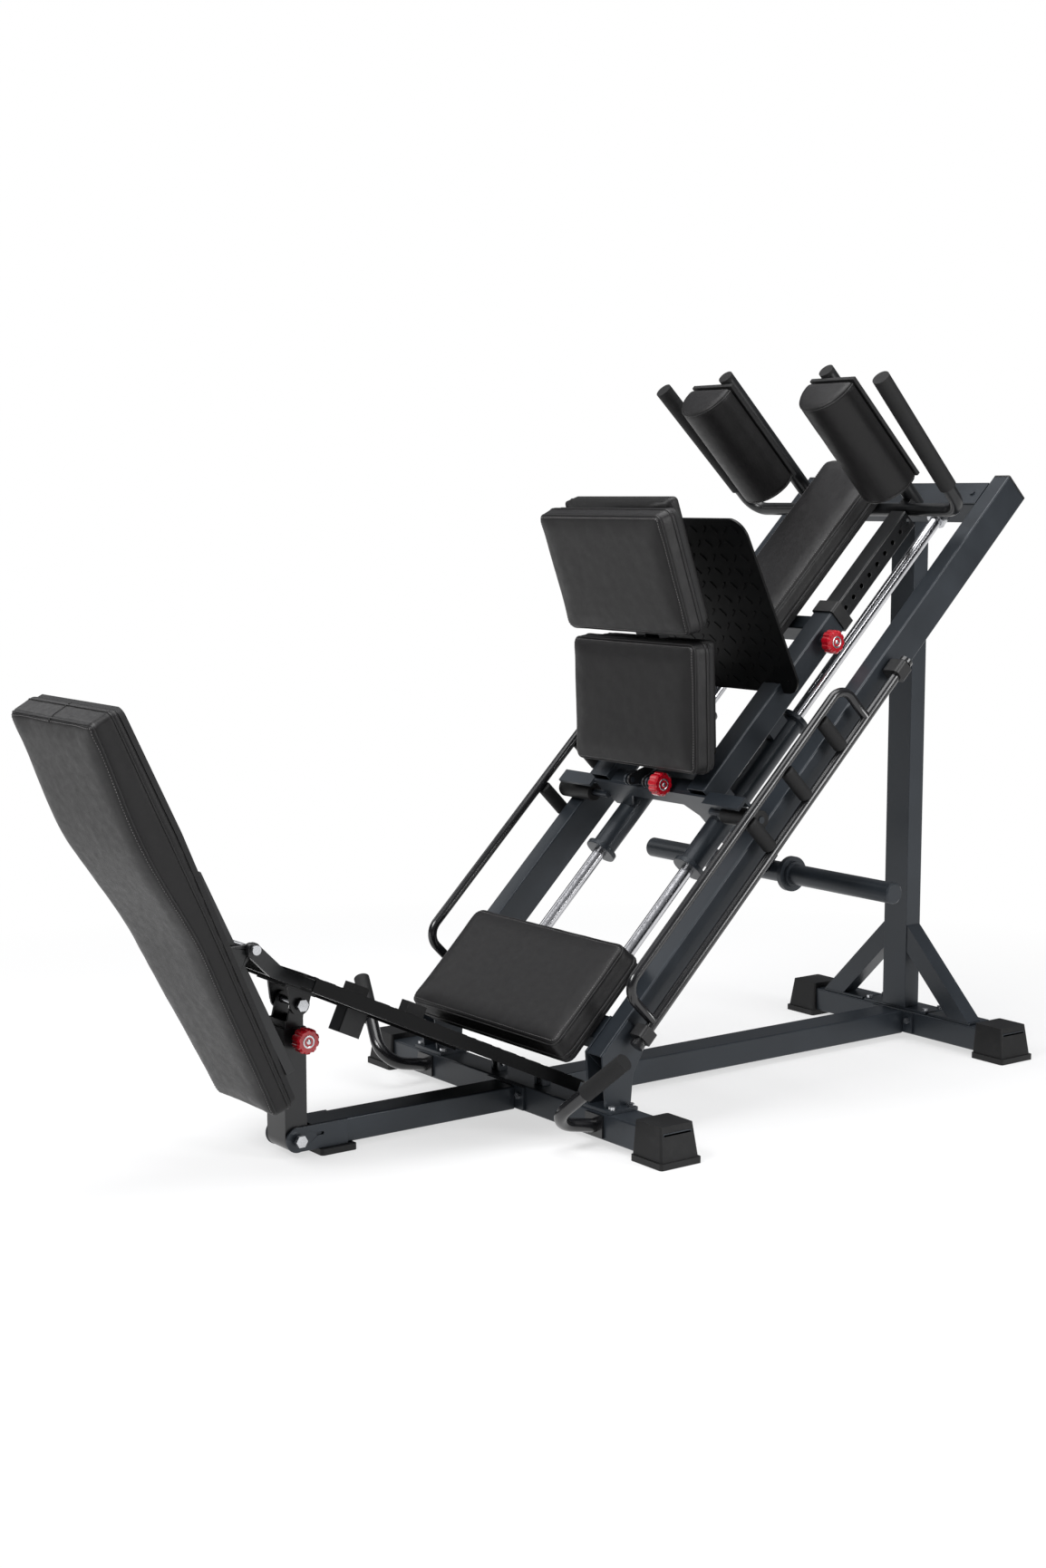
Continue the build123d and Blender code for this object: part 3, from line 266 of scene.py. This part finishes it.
MATS = {
    "frame_paint": paint("frame_powder_coat", (0.0185, 0.0235, 0.0300), 0.38, 0.30, 0.12),
    "black_paint": paint("black_powder_coat", (0.0075, 0.008, 0.009), 0.34, 0.15, 0.15),
    "black_gloss": paint("black_gloss_coat", (0.006, 0.006, 0.007), 0.22, 0.1, 0.4, 0.5, 0.03),
    "tread_plate": paint("tread_powder_coat", (0.0016, 0.0017, 0.0019), 0.36, 0.0, 0.0, 0.16),
    "chrome": metal("hard_chrome", (0.60, 0.60, 0.62), 0.19, (1, 1, 1), 120, 0.008),
    "zinc_steel": metal("zinc_plate", (0.60, 0.61, 0.63), 0.26),
    "pad_cover": leather("pad_vinyl", (0.0078, 0.0073, 0.0077), 0.45),
    # Darker copy of the pad vinyl: painted shade for faces turned away from the light, used on the blocks
    # behind the centre pads
    "pad_cover_shaded": leather("pad_vinyl_painted_shade", (0.0050, 0.0048, 0.0050), 0.48),
    # Piping vinyl about twice as light as the pad cover: a painted highlight along the piped edges
    "piping": leather("piping_vinyl_painted_highlight", (0.016, 0.0155, 0.016), 0.36),
    "thread": rubber("seam_thread", (0.15, 0.145, 0.145), 0.7, 2200, 0.6),
    "pad_board": board("painted_board", (0.007, 0.007, 0.0075)),
    "black_rubber": rubber("moulded_rubber", (0.0042, 0.0042, 0.0045), 0.50),
    "foam_grip": rubber("foam_grip", (0.0060, 0.0060, 0.0064), 0.68, 1000, 0.3),
    "black_plastic": plastic("matt_plastic", (0.0085, 0.0085, 0.009), 0.45),
    "red_knob": plastic("red_plastic", (0.46, 0.002, 0.012), 0.24, 0.6, 1100, 0.05),
}
SLOT_MATERIALS = {s["node"]: s["material_slot"] for s in frame["record"]["subparts"]}
OWN_MATERIALS = {
    "side_handle_grips": "foam_grip", "yoke_grips": "foam_grip", "lockout_rungs_left": "foam_grip",
    "lockout_rungs_right": "foam_grip", "foot_platform": "tread_plate", "platform_frame": "black_paint",
    "centre_pad_post": "black_paint", "back_pad_frame": "black_paint", "weight_bar": "frame_paint",
    "side_handles": "black_gloss", "yoke_bar": "black_paint", "yoke_tubes": "black_paint",
    "upright_sleeve": "black_paint", "upright_post": "black_paint",
}


def dress(obj, material):
    """Gives a new piece its only material."""
    obj.data.materials.clear()
    obj.data.materials.append(MATS[material])


def finish_cad():
    """Materials, and a small modelled radius on every hard edge, for the CAD nodes that stay."""
    for name, obj in nodes.items():
        material = OWN_MATERIALS.get(name, SLOT_MATERIALS[name])
        for held in obj.material_slots:
            held.material = MATS[material]
        weld = obj.modifiers.new("weld", "WELD")
        weld.merge_threshold = 0.00002
        bevel = obj.modifiers.new("edge", "BEVEL")
        bevel.width = 0.0011
        bevel.segments = 2
        bevel.limit_method = "ANGLE"
        bevel.angle_limit = math.radians(38)
        bevel.use_clamp_overlap = True
        normals = obj.modifiers.new("normals", "WEIGHTED_NORMAL")
        normals.keep_sharp = False
        normals.weight = 60


# ---------------------------------------------------------------- mesh helpers
def new_object(name, verts, faces, material):
    mesh = bpy.data.meshes.new(name)
    mesh.from_pydata([tuple(v) for v in verts], [], faces)
    mesh.validate()
    mesh.shade_smooth()
    obj = bpy.data.objects.new(name, mesh)
    bpy.context.collection.objects.link(obj)
    dress(obj, material)
    return obj


def apply_modifiers(obj):
    depsgraph = bpy.context.evaluated_depsgraph_get()
    done = bpy.data.meshes.new_from_object(obj.evaluated_get(depsgraph), depsgraph=depsgraph)
    obj.modifiers.clear()
    obj.data = done
    return obj


def rounded(points, radius, steps=7):
    """Closed outline with its corners rounded."""
    out = []
    count = len(points)
    for i in range(count):
        here = Vector(points[i])
        before = (Vector(points[i - 1]) - here).normalized()
        after = (Vector(points[(i + 1) % count]) - here).normalized()
        half = before.angle(after) / 2
        reach = radius / math.tan(half)
        centre = here + (before + after).normalized() * radius / math.sin(half)
        start, end = here + before * reach - centre, here + after * reach - centre
        turn = start.angle_signed(end)
        for k in range(steps + 1):
            out.append(centre + Matrix.Rotation(-turn * k / steps, 2) @ start)
    return out


def dense(loop, step):
    """The closed loop resampled at an even step."""
    out = []
    for i in range(len(loop)):
        a, b = loop[i], loop[(i + 1) % len(loop)]
        count = max(1, round((b - a).length / step))
        out.extend(a.lerp(b, k / count) for k in range(count))
    return out


def inset(loop, amount):
    """Moves every point of a counter-clockwise loop inwards."""
    out = []
    count = len(loop)
    for i in range(count):
        t = (loop[(i + 1) % count] - loop[i - 1]).normalized()
        out.append(loop[i] + Vector((-t.y, t.x)) * amount)
    return out


def outward(loop, i):
    t = (loop[(i + 1) % len(loop)] - loop[i - 1]).normalized()
    return Vector((t.y, -t.x))


def rings_to_mesh(name, rings, material):
    verts, faces = [], []
    count = len(rings[0])
    for ring in rings:
        verts.extend(ring)
    for r in range(len(rings) - 1):
        for i in range(count):
            j = (i + 1) % count
            faces.append((r * count + i, r * count + j, (r + 1) * count + j, (r + 1) * count + i))
    faces.append(tuple(reversed(range(count))))
    faces.append(tuple((len(rings) - 1) * count + i for i in range(count)))
    return new_object(name, verts, faces, material)


def tube(name, path, radius, material, closed=True, sides=8):
    """Tube along a path of points."""
    verts, faces = [], []
    count = len(path)
    for i, p in enumerate(path):
        before = path[i - 1] if closed or i else path[0]
        after = path[(i + 1) % count] if closed or i < count - 1 else path[-1]
        along = (after - before).normalized()
        helper = Vector((0, 0, 1)) if abs(along.z) < 0.9 else Vector((1, 0, 0))
        u = along.cross(helper).normalized()
        v = along.cross(u)
        for k in range(sides):
            a = 2 * math.pi * k / sides
            verts.append(p + u * math.cos(a) * radius + v * math.sin(a) * radius)
    for i in range(count if closed else count - 1):
        j = (i + 1) % count
        for k in range(sides):
            n = (k + 1) % sides
            faces.append((i * sides + k, i * sides + n, j * sides + n, j * sides + k))
    if not closed:
        faces.append(tuple(reversed(range(sides))))
        faces.append(tuple((count - 1) * sides + k for k in range(sides)))
    return new_object(name, verts, faces, material)


def stitches(name, path, normals):
    """A row of sewn stitches along a closed path: short thread bumps sunk at both ends."""
    verts, faces = [], []
    walked, next_at = 0.0, 0.0
    sides = THREAD_SIDES
    shape = ((0.0, 0.15, -0.5), (0.22, 0.85, 0.15), (0.5, 1.0, 0.35), (0.78, 0.85, 0.15), (1.0, 0.15, -0.5))
    for i, a in enumerate(path):
        b = path[(i + 1) % len(path)]
        seg = (b - a).length
        while next_at < walked + seg:
            start = a.lerp(b, (next_at - walked) / seg)
            along = (b - a).normalized()
            up = normals[i]
            across = along.cross(up).normalized()
            base = len(verts)
            for t, r, lift in shape:
                centre = start + along * (t * STITCH_LENGTH) + up * (lift * THREAD_R)
                for k in range(sides):
                    angle = 2 * math.pi * k / sides
                    offset = across * math.cos(angle) + up * math.sin(angle)
                    verts.append(centre + offset * THREAD_R * r)
            for row in range(len(shape) - 1):
                first = base + row * sides
                for k in range(sides):
                    n = (k + 1) % sides
                    faces.append((first + k, first + n, first + sides + n, first + sides + k))
            next_at += STITCH_PITCH
        walked += seg
    return new_object(name, verts, faces, "thread")


# ---------------------------------------------------------------- upholstery
VOXEL = 0.0055
PRESSURE, FRAMES = 4.0, 20
PAD_CAP, ROLL_CAP = 0.006, 0.005   # how far the simulation may move the cover
HELD = 0.0025                      # height of the strip that is held on the board
SLACK = 0.0015                     # room left for the swelling
PIPE = 0.0019
SEAM_WIDTH, SEAM_DEPTH = 0.0055, 0.0014
STITCH_PITCH, STITCH_LENGTH, THREAD_R, THREAD_SIDES = 0.0062, 0.0042, 0.0007, 6
SEAT_S, SEAT_P = 0.252, 0.131                            # middle of the seat's board, on the slope
SLED_PAD_S, SLED_PAD_P = 1.5075, 0.222
CENTRE_PADS = {"lower": ((0.382, 0.767), (0.372, 1.073)), "upper": ((0.363, 1.080), (0.264, 1.361))}
BACK_PAD_FOOT, BACK_PAD_HEAD = (-0.607, 0.142), (-1.026, 1.009)
ROLL_X, ROLL_S, ROLL_P = 0.2125, 1.7434, 0.300           # a roll's flat side and lower end, on the slope
ROLL_HALF, ROLL_DROP, ROLL_SHOULDER, ROLL_LENGTH = 0.0775, 0.100, 0.034, 0.321
SHELL_FRONT, SHELL_BACK = -0.0126, -0.052                # blocks behind the centre pads' boards


def swell(obj, pinned, cap):
    """Blows the cover up with cloth simulation, with the back held on its board."""
    remesh = obj.modifiers.new("voxel", "REMESH")
    remesh.mode = "VOXEL"
    remesh.voxel_size = VOXEL
    remesh.use_smooth_shade = True
    apply_modifiers(obj)
    start = [v.co.copy() for v in obj.data.vertices]
    group = obj.vertex_groups.new(name="held")
    group.add([i for i, co in enumerate(start) if pinned(co)], 1.0, "REPLACE")
    cloth = obj.modifiers.new("cloth", "CLOTH")
    cloth.settings.quality = 4
    cloth.settings.mass = 0.25
    cloth.settings.tension_stiffness = 18
    cloth.settings.compression_stiffness = 18
    cloth.settings.shear_stiffness = 6
    cloth.settings.bending_stiffness = 0.6
    cloth.settings.use_pressure = True
    cloth.settings.uniform_pressure_force = PRESSURE
    cloth.settings.vertex_group_mass = "held"
    cloth.settings.effector_weights.gravity = 0
    cloth.point_cache.frame_start = 1
    cloth.point_cache.frame_end = FRAMES
    scene = bpy.context.scene
    for f in range(1, FRAMES + 1):
        scene.frame_set(f)
    apply_modifiers(obj)
    held = np.array([pinned(co) for co in start])
    was = np.array(start)
    moves = np.array([v.co for v in obj.data.vertices]) - was
    length = np.maximum(np.linalg.norm(moves, axis=1, keepdims=True), 1e-9)
    moves *= np.minimum(1.0, cap / length)
    moves = even_out(obj.data, moves, 24, held)
    obj.data.vertices.foreach_set("co", (was + moves).ravel())
    obj.vertex_groups.clear()
    scene.frame_set(1)
    co = np.array([v.co for v in obj.data.vertices])
    obj.data.vertices.foreach_set("co", even_out(obj.data, co, 2).ravel())
    obj.data.update()
    return obj


def even_out(mesh, values, rounds, held=None):
    """Averages a per-vertex vector with its neighbours, so that fine wrinkles go and the crown stays."""
    pairs = np.empty(len(mesh.edges) * 2, dtype=np.int32)
    mesh.edges.foreach_get("vertices", pairs)
    a, b = pairs[0::2], pairs[1::2]
    size = len(values)
    count = np.maximum(np.bincount(pairs, minlength=size), 1)[:, None]
    for _ in range(rounds):
        total = np.stack([np.bincount(a, values[b, k], size) + np.bincount(b, values[a, k], size)
                          for k in range(3)], axis=1)
        values = 0.5 * values + 0.5 * total / count
        if held is not None:
            values[held] = 0.0
    return values


def ray(tree, start, direction):
    """Where a ray meets the cover, and the cover's normal there."""
    hit = tree.ray_cast(start, direction.normalized(), 0.3)
    return hit[0], hit[1]


def top_path(tree, loop, amount, height):
    path, normals = [], []
    for p in inset(loop, amount):
        point, normal = ray(tree, Vector((p.x, p.y, height + 0.08)), Vector((0, 0, -1)))
        if point is not None:
            path.append(point)
            normals.append(normal)
    return path, normals


def smooth_path(path, rounds=3):
    for _ in range(rounds):
        path = [(path[i - 1] + path[i] * 2 + path[(i + 1) % len(path)]) / 4 for i in range(len(path))]
    return path


def press_seams(obj, path, width, depth):
    """Draws the cover in along a seam, most at its middle."""
    kd = KDTree(len(path))
    for i, p in enumerate(path):
        kd.insert(p, i)
    kd.balance()
    moved = []
    for v in obj.data.vertices:
        _, _, distance = kd.find(v.co)
        if distance < width:
            share = 0.5 + 0.5 * math.cos(math.pi * distance / width)
            moved.append((v, v.normal * depth * share))
    for v, move in moved:
        v.co -= move


def place(obj, matrix, body):
    """Moves a piece from its pad's own frame to its place, riding on the body, in the cover's finish."""
    obj.data.transform(matrix)
    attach(obj, body)


def settle(obj, wrinkle, height):
    """Adds slight unevenness away from the board, then one subdivision; gives a tree to cast rays at."""
    normals = [v.normal.copy() for v in obj.data.vertices]
    for v, normal in zip(obj.data.vertices, normals):
        v.co += normal * wrinkle(v.co) * min(1.0, height(v.co) / 0.01)
    sub = obj.modifiers.new("sub", "SUBSURF")
    sub.levels = sub.render_levels = 1
    apply_modifiers(obj)
    return BVHTree.FromObject(obj, bpy.context.evaluated_depsgraph_get())


def pad_wrinkle(co):
    return noise.noise(co * 34.0) * 0.0005 + noise.noise(co * 11.0) * 0.0006


def upholster(name, node, body, matrix, loop, top, edge, thick_map=None):
    """A sewn pad: boxed foam in its outline, swollen by simulation, then seams, piping and stitches."""
    loop = dense(loop, 0.006)
    heights = [(SLACK + 0.003, 0.0), (SLACK, 0.003), (SLACK, top * 0.5)]
    for k in range(6):
        a = math.pi / 2 * k / 5
        heights.append((SLACK + edge * (1 - math.cos(a)), top - SLACK - edge + edge * math.sin(a)))
    rings = [[Vector((p.x, p.y, z)) for p in inset(loop, amount)] for amount, z in heights]
    obj = rings_to_mesh(name, rings, "pad_cover")
    swell(obj, lambda co: co.z < HELD, PAD_CAP)
    for v in obj.data.vertices:
        if thick_map:
            v.co.z *= thick_map(v.co.y)
        v.co.z = max(v.co.z, 0.0)
    tree = settle(obj, pad_wrinkle, lambda co: co.z)

    def height_at(y):
        return top * (thick_map(y) if thick_map else 1.0)

    front = smooth_path(front_edge(tree, loop, height_at, edge))
    press_seams(obj, front, SEAM_WIDTH, SEAM_DEPTH)
    place(tube(f"{name}_piping_front", front, PIPE, "piping"), matrix, body)
    rows, normals = top_path(tree, loop, edge + 0.004, top * 1.6)
    place(stitches(f"{name}_stitches", rows, normals), matrix, body)
    rear = smooth_path(rear_edge(tree, loop, height_at))
    press_seams(obj, rear, SEAM_WIDTH, SEAM_DEPTH)
    place(tube(f"{name}_piping_rear", rear, PIPE, "piping"), matrix, body)
    place(obj, matrix, body)
    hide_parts(node)
    return tree


def front_edge(tree, loop, height_at, edge):
    """The line round a pad where its face meets its sides."""
    path = []
    for i in range(len(loop)):
        n = outward(loop, i)
        inner = Vector((loop[i].x, loop[i].y, height_at(loop[i].y))) - Vector((n.x, n.y, 1.0)) * edge * 0.8
        direction = Vector((n.x, n.y, 1.0)).normalized()
        point, _ = ray(tree, inner + direction * 0.06, -direction)
        if point is not None:
            path.append(point)
    return path


def rear_edge(tree, loop, height_at):
    """A line round a pad's sides, near its board."""
    path = []
    for i in range(len(loop)):
        n = outward(loop, i)
        start = Vector((loop[i].x, loop[i].y, height_at(loop[i].y) * 0.22)) + Vector((n.x, n.y, 0)) * 0.05
        point, _ = ray(tree, start, Vector((-n.x, -n.y, 0)))
        if point is not None:
            path.append(point)
    return path


def box_loop(half_x, half_y, radius):
    return rounded(((-half_x, -half_y), (half_x, -half_y), (half_x, half_y), (-half_x, half_y)), radius)


def make_seat_and_sled_pads():
    matrix = on_slope(SEAT_S, SEAT_P + 2 * GAP + BOARD)
    upholster("seat_pad", "seat_cushion", "base", matrix, box_loop(0.292, 0.148, 0.030), 0.061, 0.013)
    matrix = on_slope(SLED_PAD_S, SLED_PAD_P + BOARD + GAP)
    loop = box_loop(0.113, 0.3275, 0.026)
    upholster("sled_back_pad", "sled_pad_cushion", "sled", matrix, loop, 0.0515, 0.011)


def make_centre_pads():
    """Two pads on one post, each with a rear layer that leaves room for the post."""
    wide, slot, notch = 0.186, 0.036, 0.112
    for label, (low, high) in CENTRE_PADS.items():
        matrix, length = leaning(low, high, -0.062 + BOARD + GAP)
        loop = box_loop(0.230, length / 2 + 0.002, 0.024)
        node = f"centre_cushion_{label}"
        upholster(f"centre_pad_{label}", node, "centre_pads", matrix, loop, 0.0495, 0.010)
        if label == "upper":
            foot, top = 0.004 - length / 2, length / 2 + 0.008
            corners = ((slot, foot), (wide, foot), (wide, top), (-wide, top), (-wide, foot), (-slot, foot),
                       (-slot, notch), (slot, notch))
            shell("centre_pad_back_upper", "centre_pads", matrix, corners)
        else:
            foot, top = 0.036 - length / 2, length / 2 - 0.002
            for side, x0, x1 in (("right", slot, wide), ("left", -wide, -slot)):
                corners = ((x0, foot), (x1, foot), (x1, top), (x0, top))
                shell(f"centre_pad_back_lower_{side}", "centre_pads", matrix, corners)


def make_back_pad():
    """Long pad: narrow at its foot, wide at its head, and thickest across the shoulders."""
    matrix, length = leaning(BACK_PAD_FOOT, BACK_PAD_HEAD, BOARD + GAP)
    half = length / 2
    waist, chest = -half + 0.42 * length, -half + 0.70 * length
    right = ((0.130, -half), (0.168, waist), (0.196, chest), (0.196, half))
    loop = rounded((*right, *((-x, y) for x, y in reversed(right))), 0.020)
    knots = ((-half, 0.0497), (waist, 0.0540), (half - 0.270, 0.0817), (half, 0.0677))

    def thickness(y):
        for (y0, t0), (y1, t1) in zip(knots, knots[1:]):
            if y <= y1 or y1 == half:
                f = min(1.0, max(0.0, (y - y0) / (y1 - y0)))
                f = f * f * (3 - 2 * f)
                return (t0 + (t1 - t0) * f) / 0.050
        return 1.0

    tree = upholster("back_pad", "back_pad_cushion", "back_pad", matrix, loop, 0.0490, 0.010, thickness)
    seam = []
    for k in range(24):
        point, _ = ray(tree, Vector((0, half + 0.05, 0.004 + 0.0026 * k)), Vector((0, -1, 0)))
        if point is not None:
            seam.append(point)
    place(tube("back_pad_head_seam", seam, 0.0016, "piping", closed=False), matrix, "back_pad")


def shell(name, body, matrix, corners):
    """Vinyl-covered block behind a pad's board, with soft edges and a piped seam."""
    front, back = SHELL_FRONT, SHELL_BACK
    loop = dense(rounded(corners, 0.012), 0.008)
    edge = 0.006
    rings = [[Vector((p.x, p.y, front)) for p in loop]]
    for k in range(5):
        a = math.pi / 2 * k / 4
        z = back + edge * (1 - math.sin(a))
        rings.append([Vector((p.x, p.y, z)) for p in inset(loop, edge * (1 - math.cos(a)))])
    # The block gets the darker copy of the pad vinyl: painted shade
    place(rings_to_mesh(name, [list(reversed(r)) for r in rings], "pad_cover_shaded"), matrix, body)
    seam = [Vector((p.x, p.y, front * 0.6 + back * 0.4)) for p in loop]
    place(tube(f"{name}_piping", seam, 0.0014, "piping"), matrix, body)


def roll_outline():
    """Half-round section of a shoulder roll, its flat side along y = 0."""
    radius = (ROLL_HALF ** 2 + (ROLL_DROP - ROLL_SHOULDER) ** 2) / (2 * (ROLL_DROP - ROLL_SHOULDER))
    span = math.asin(min(1.0, ROLL_HALF / radius))
    outline = [Vector((-ROLL_HALF, 0)), Vector((ROLL_HALF, 0))]
    for k in range(17):
        a = span - 2 * span * k / 16
        outline.append(Vector((radius * math.sin(a), ROLL_DROP - radius + radius * math.cos(a))))
    return dense(rounded_profile(outline), 0.006)


def make_shoulder_pads():
    """Half-round rolls with sewn ends; local y is out of the padded side and z along the roll."""
    end, edge = ROLL_LENGTH / 2, 0.010
    up, down = Vector((0, -1 / ROOT2, 1 / ROOT2)), Vector((0, -1 / ROOT2, -1 / ROOT2))
    curve = [math.pi / 2 * k / 4 for k in range(5)]
    ends = [(0.003 + edge * (1 - math.sin(a)), edge * (1 - math.cos(a))) for a in curve]
    sections = [(amount, -end + 0.003 + z) for amount, z in ends]
    sections += [(amount, end - 0.003 - z) for amount, z in reversed(ends)]
    loop = roll_outline()
    for sign, side in ((1, "right"), (-1, "left")):
        origin = slope_point(sign * ROLL_X, ROLL_S, ROLL_P + end)
        matrix = basis(origin, (1, 0, 0), down, up)
        if matrix.to_3x3().determinant() < 0:
            matrix = basis(origin, (-1, 0, 0), down, up)
        rings = [[Vector((p.x, p.y, z)) for p in inset(loop, amount)] for amount, z in sections]
        name = f"shoulder_roll_{side}"
        obj = rings_to_mesh(name, rings, "pad_cover")
        swell(obj, lambda co: co.y < HELD + 0.001, ROLL_CAP)
        for v in obj.data.vertices:
            v.co.y = max(v.co.y, 0.0)
        seed = Vector((sign, 0, 0))
        tree = settle(obj, lambda co: noise.noise(co * 30.0 + seed) * 0.0006, lambda co: co.y)
        for label, tilt in (("top", 1.0), ("bottom", -1.0)):
            path = []
            for i, p in enumerate(loop):
                n = outward(loop, i)
                direction = Vector((n.x, n.y, tilt)).normalized()
                start = Vector((p.x, p.y, tilt * (end - 0.008))) + direction * 0.056
                point, _ = ray(tree, start, -direction)
                if point is not None:
                    path.append(point)
            path = smooth_path(path)
            press_seams(obj, path, 0.005, 0.0012)
            place(tube(f"{name}_piping_{label}", path, 0.0018, "piping"), matrix, "yoke")
        place(obj, matrix, "yoke")
        if sign > 0:
            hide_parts("shoulder_pads")


def rounded_profile(outline):
    """Takes the sharp corners off the flat side of the roll."""
    corner = 0.010
    points = []
    count = len(outline)
    for i, p in enumerate(outline):
        before, after = outline[i - 1], outline[(i + 1) % count]
        if (p - before).angle(after - p) > 0.6:
            a = p + (before - p).normalized() * corner
            b = p + (after - p).normalized() * corner
            for k in range(6):
                t = k / 5
                points.append(a.lerp(p, t).lerp(p.lerp(b, t), t))
        else:
            points.append(p)
    return points


# ---------------------------------------------------------------- small hard details
def lathe(name, centre, axis, profile, material, body, sides=48):
    """Turned piece: profile is (distance along the axis, radius)."""
    axis = Vector(axis).normalized()
    helper = Vector((0, 0, 1)) if abs(axis.z) < 0.9 else Vector((0, 1, 0))
    u = axis.cross(helper).normalized()
    v = axis.cross(u)
    rings = []
    for along, radius in profile:
        ring = []
        for k in range(sides):
            a = -2 * math.pi * k / sides
            ring.append(Vector(centre) + axis * along + u * math.cos(a) * radius + v * math.sin(a) * radius)
        rings.append(ring)
    obj = rings_to_mesh(name, rings, material)
    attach(obj, body)


def knob_discs():
    """Plain turned disc in each red knob's face."""
    for node, sign in (("height_pin", 1), ("fold_lock_pin", 1), ("yoke_pin_right", 1), ("yoke_pin_left", -1)):
        low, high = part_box(node)
        centre = (low + high) / 2
        centre.x = (high.x if sign > 0 else low.x) - sign * 0.0022
        profile = ((0, 0.0146), (0.0018, 0.0146), (0.0026, 0.0138), (0.0026, 0.0105), (0.0016, 0.0095),
                   (0.0016, 0.0060), (0.0028, 0.0050), (0.0028, 0.0004))
        lathe(f"{node}_disc", centre, (sign, 0, 0), profile, "zinc_steel", node)


# ---------------------------------------------------------------- floor, light and camera
def make_floor():
    """Pale floor that fades into the white round it."""
    mesh = bpy.data.meshes.new("floor")
    size = 14.0
    corners = [(-size, -size, 0), (size, -size, 0), (size, size, 0), (-size, size, 0)]
    mesh.from_pydata(corners, [], [(0, 1, 2, 3)])
    floor = bpy.data.objects.new("floor", mesh)
    floor.location.z = -0.0005
    bpy.context.collection.objects.link(floor)
    mat = bpy.data.materials.new("pale_floor")
    mat.use_nodes = True
    tree = mat.node_tree
    shader = tree.nodes["Principled BSDF"]
    shader.inputs["Base Color"].default_value = (0.88, 0.88, 0.885, 1)
    shader.inputs["Roughness"].default_value = 0.7
    shader.inputs["Specular IOR Level"].default_value = 0.25
    glow = tree.nodes.new("ShaderNodeEmission")
    glow.inputs["Color"].default_value = (1, 1, 1, 1)
    glow.inputs["Strength"].default_value = 1.0
    coord = tree.nodes.new("ShaderNodeTexCoord")
    far = tree.nodes.new("ShaderNodeVectorMath")
    far.operation = "LENGTH"
    tree.links.new(coord.outputs["Object"], far.inputs[0])
    blend = tree.nodes.new("ShaderNodeMixShader")
    tree.links.new(add_range(tree, far.outputs["Value"], 0.62, 1.0, 1.4, 2.7), blend.inputs["Fac"])
    tree.links.new(shader.outputs["BSDF"], blend.inputs[1])
    tree.links.new(glow.outputs["Emission"], blend.inputs[2])
    tree.links.new(blend.outputs["Shader"], tree.nodes["Material Output"].inputs["Surface"])
    mesh.materials.append(mat)


def make_sky():
    """Soft grey surroundings for the light, plain white where seen directly."""
    world = bpy.data.worlds.new("studio")
    world.use_nodes = True
    tree = world.node_tree
    background = tree.nodes["Background"]
    coord = tree.nodes.new("ShaderNodeTexCoord")
    split = tree.nodes.new("ShaderNodeSeparateXYZ")
    tree.links.new(coord.outputs["Generated"], split.inputs["Vector"])
    sky = add_ramp(tree, add_range(tree, split.outputs["Z"], 0.0, 1.0, -0.25, 1.0),
                   ((0.0, (0.16, 0.16, 0.17)), (0.25, (0.20, 0.205, 0.215)), (0.62, (0.42, 0.43, 0.45)),
                    (1.0, (0.95, 0.96, 1.0))))
    tree.links.new(sky, background.inputs["Color"])
    background.inputs["Strength"].default_value = 0.47
    backdrop = tree.nodes.new("ShaderNodeBackground")
    backdrop.inputs["Color"].default_value = (1, 1, 1, 1)
    seen = tree.nodes.new("ShaderNodeLightPath")
    mix = tree.nodes.new("ShaderNodeMixShader")
    tree.links.new(seen.outputs["Is Camera Ray"], mix.inputs["Fac"])
    tree.links.new(background.outputs["Background"], mix.inputs[1])
    tree.links.new(backdrop.outputs["Background"], mix.inputs[2])
    tree.links.new(mix.outputs["Shader"], tree.nodes["World Output"].inputs["Surface"])
    bpy.context.scene.world = world


LIGHTS = (   # name, place, target, size, watts
    ("key", (0.6, -3.4, 3.4), (0, -0.1, 0.7), (2.2, 1.6), 152),
    ("side", (4.0, 1.6, 2.2), (0, 0.3, 0.8), (1.2, 2.4), 96),
    ("left", (-3.6, -1.2, 2.8), (0, 0, 0.7), (1.6, 2.2), 15),
    ("top", (0.0, 0.3, 4.6), (0, 0.2, 0), (3.4, 3.4), 150),
)


def make_lights():
    for name, place, target, size, power in LIGHTS:
        light = bpy.data.lights.new(name, "AREA")
        light.shape = "RECTANGLE"
        light.size, light.size_y = size
        light.energy = power
        obj = bpy.data.objects.new(name, light)
        obj.location = place
        obj.rotation_euler = (Vector(target) - Vector(place)).to_track_quat("-Z", "Y").to_euler()
        bpy.context.collection.objects.link(obj)


def make_camera():
    camera = bpy.data.cameras.new("camera")
    camera.lens = 51.88
    camera.sensor_width = 36
    camera.clip_end = 60
    eye = bpy.data.objects.new("camera", camera)
    eye.location = (4.0976, -2.9432 + SHIFT, 1.400)
    eye.rotation_euler = Vector((-0.7999, 0.5868, -0.1262)).to_track_quat("-Z", "Y").to_euler()
    bpy.context.collection.objects.link(eye)
    scene = bpy.context.scene
    scene.camera = eye
    scene.view_settings.view_transform = "Standard"
    scene.view_settings.look = "None"


finish_cad()
make_seat_and_sled_pads()
make_centre_pads()
make_back_pad()
make_shoulder_pads()
knob_discs()
make_floor()
make_sky()
make_lights()
make_camera()
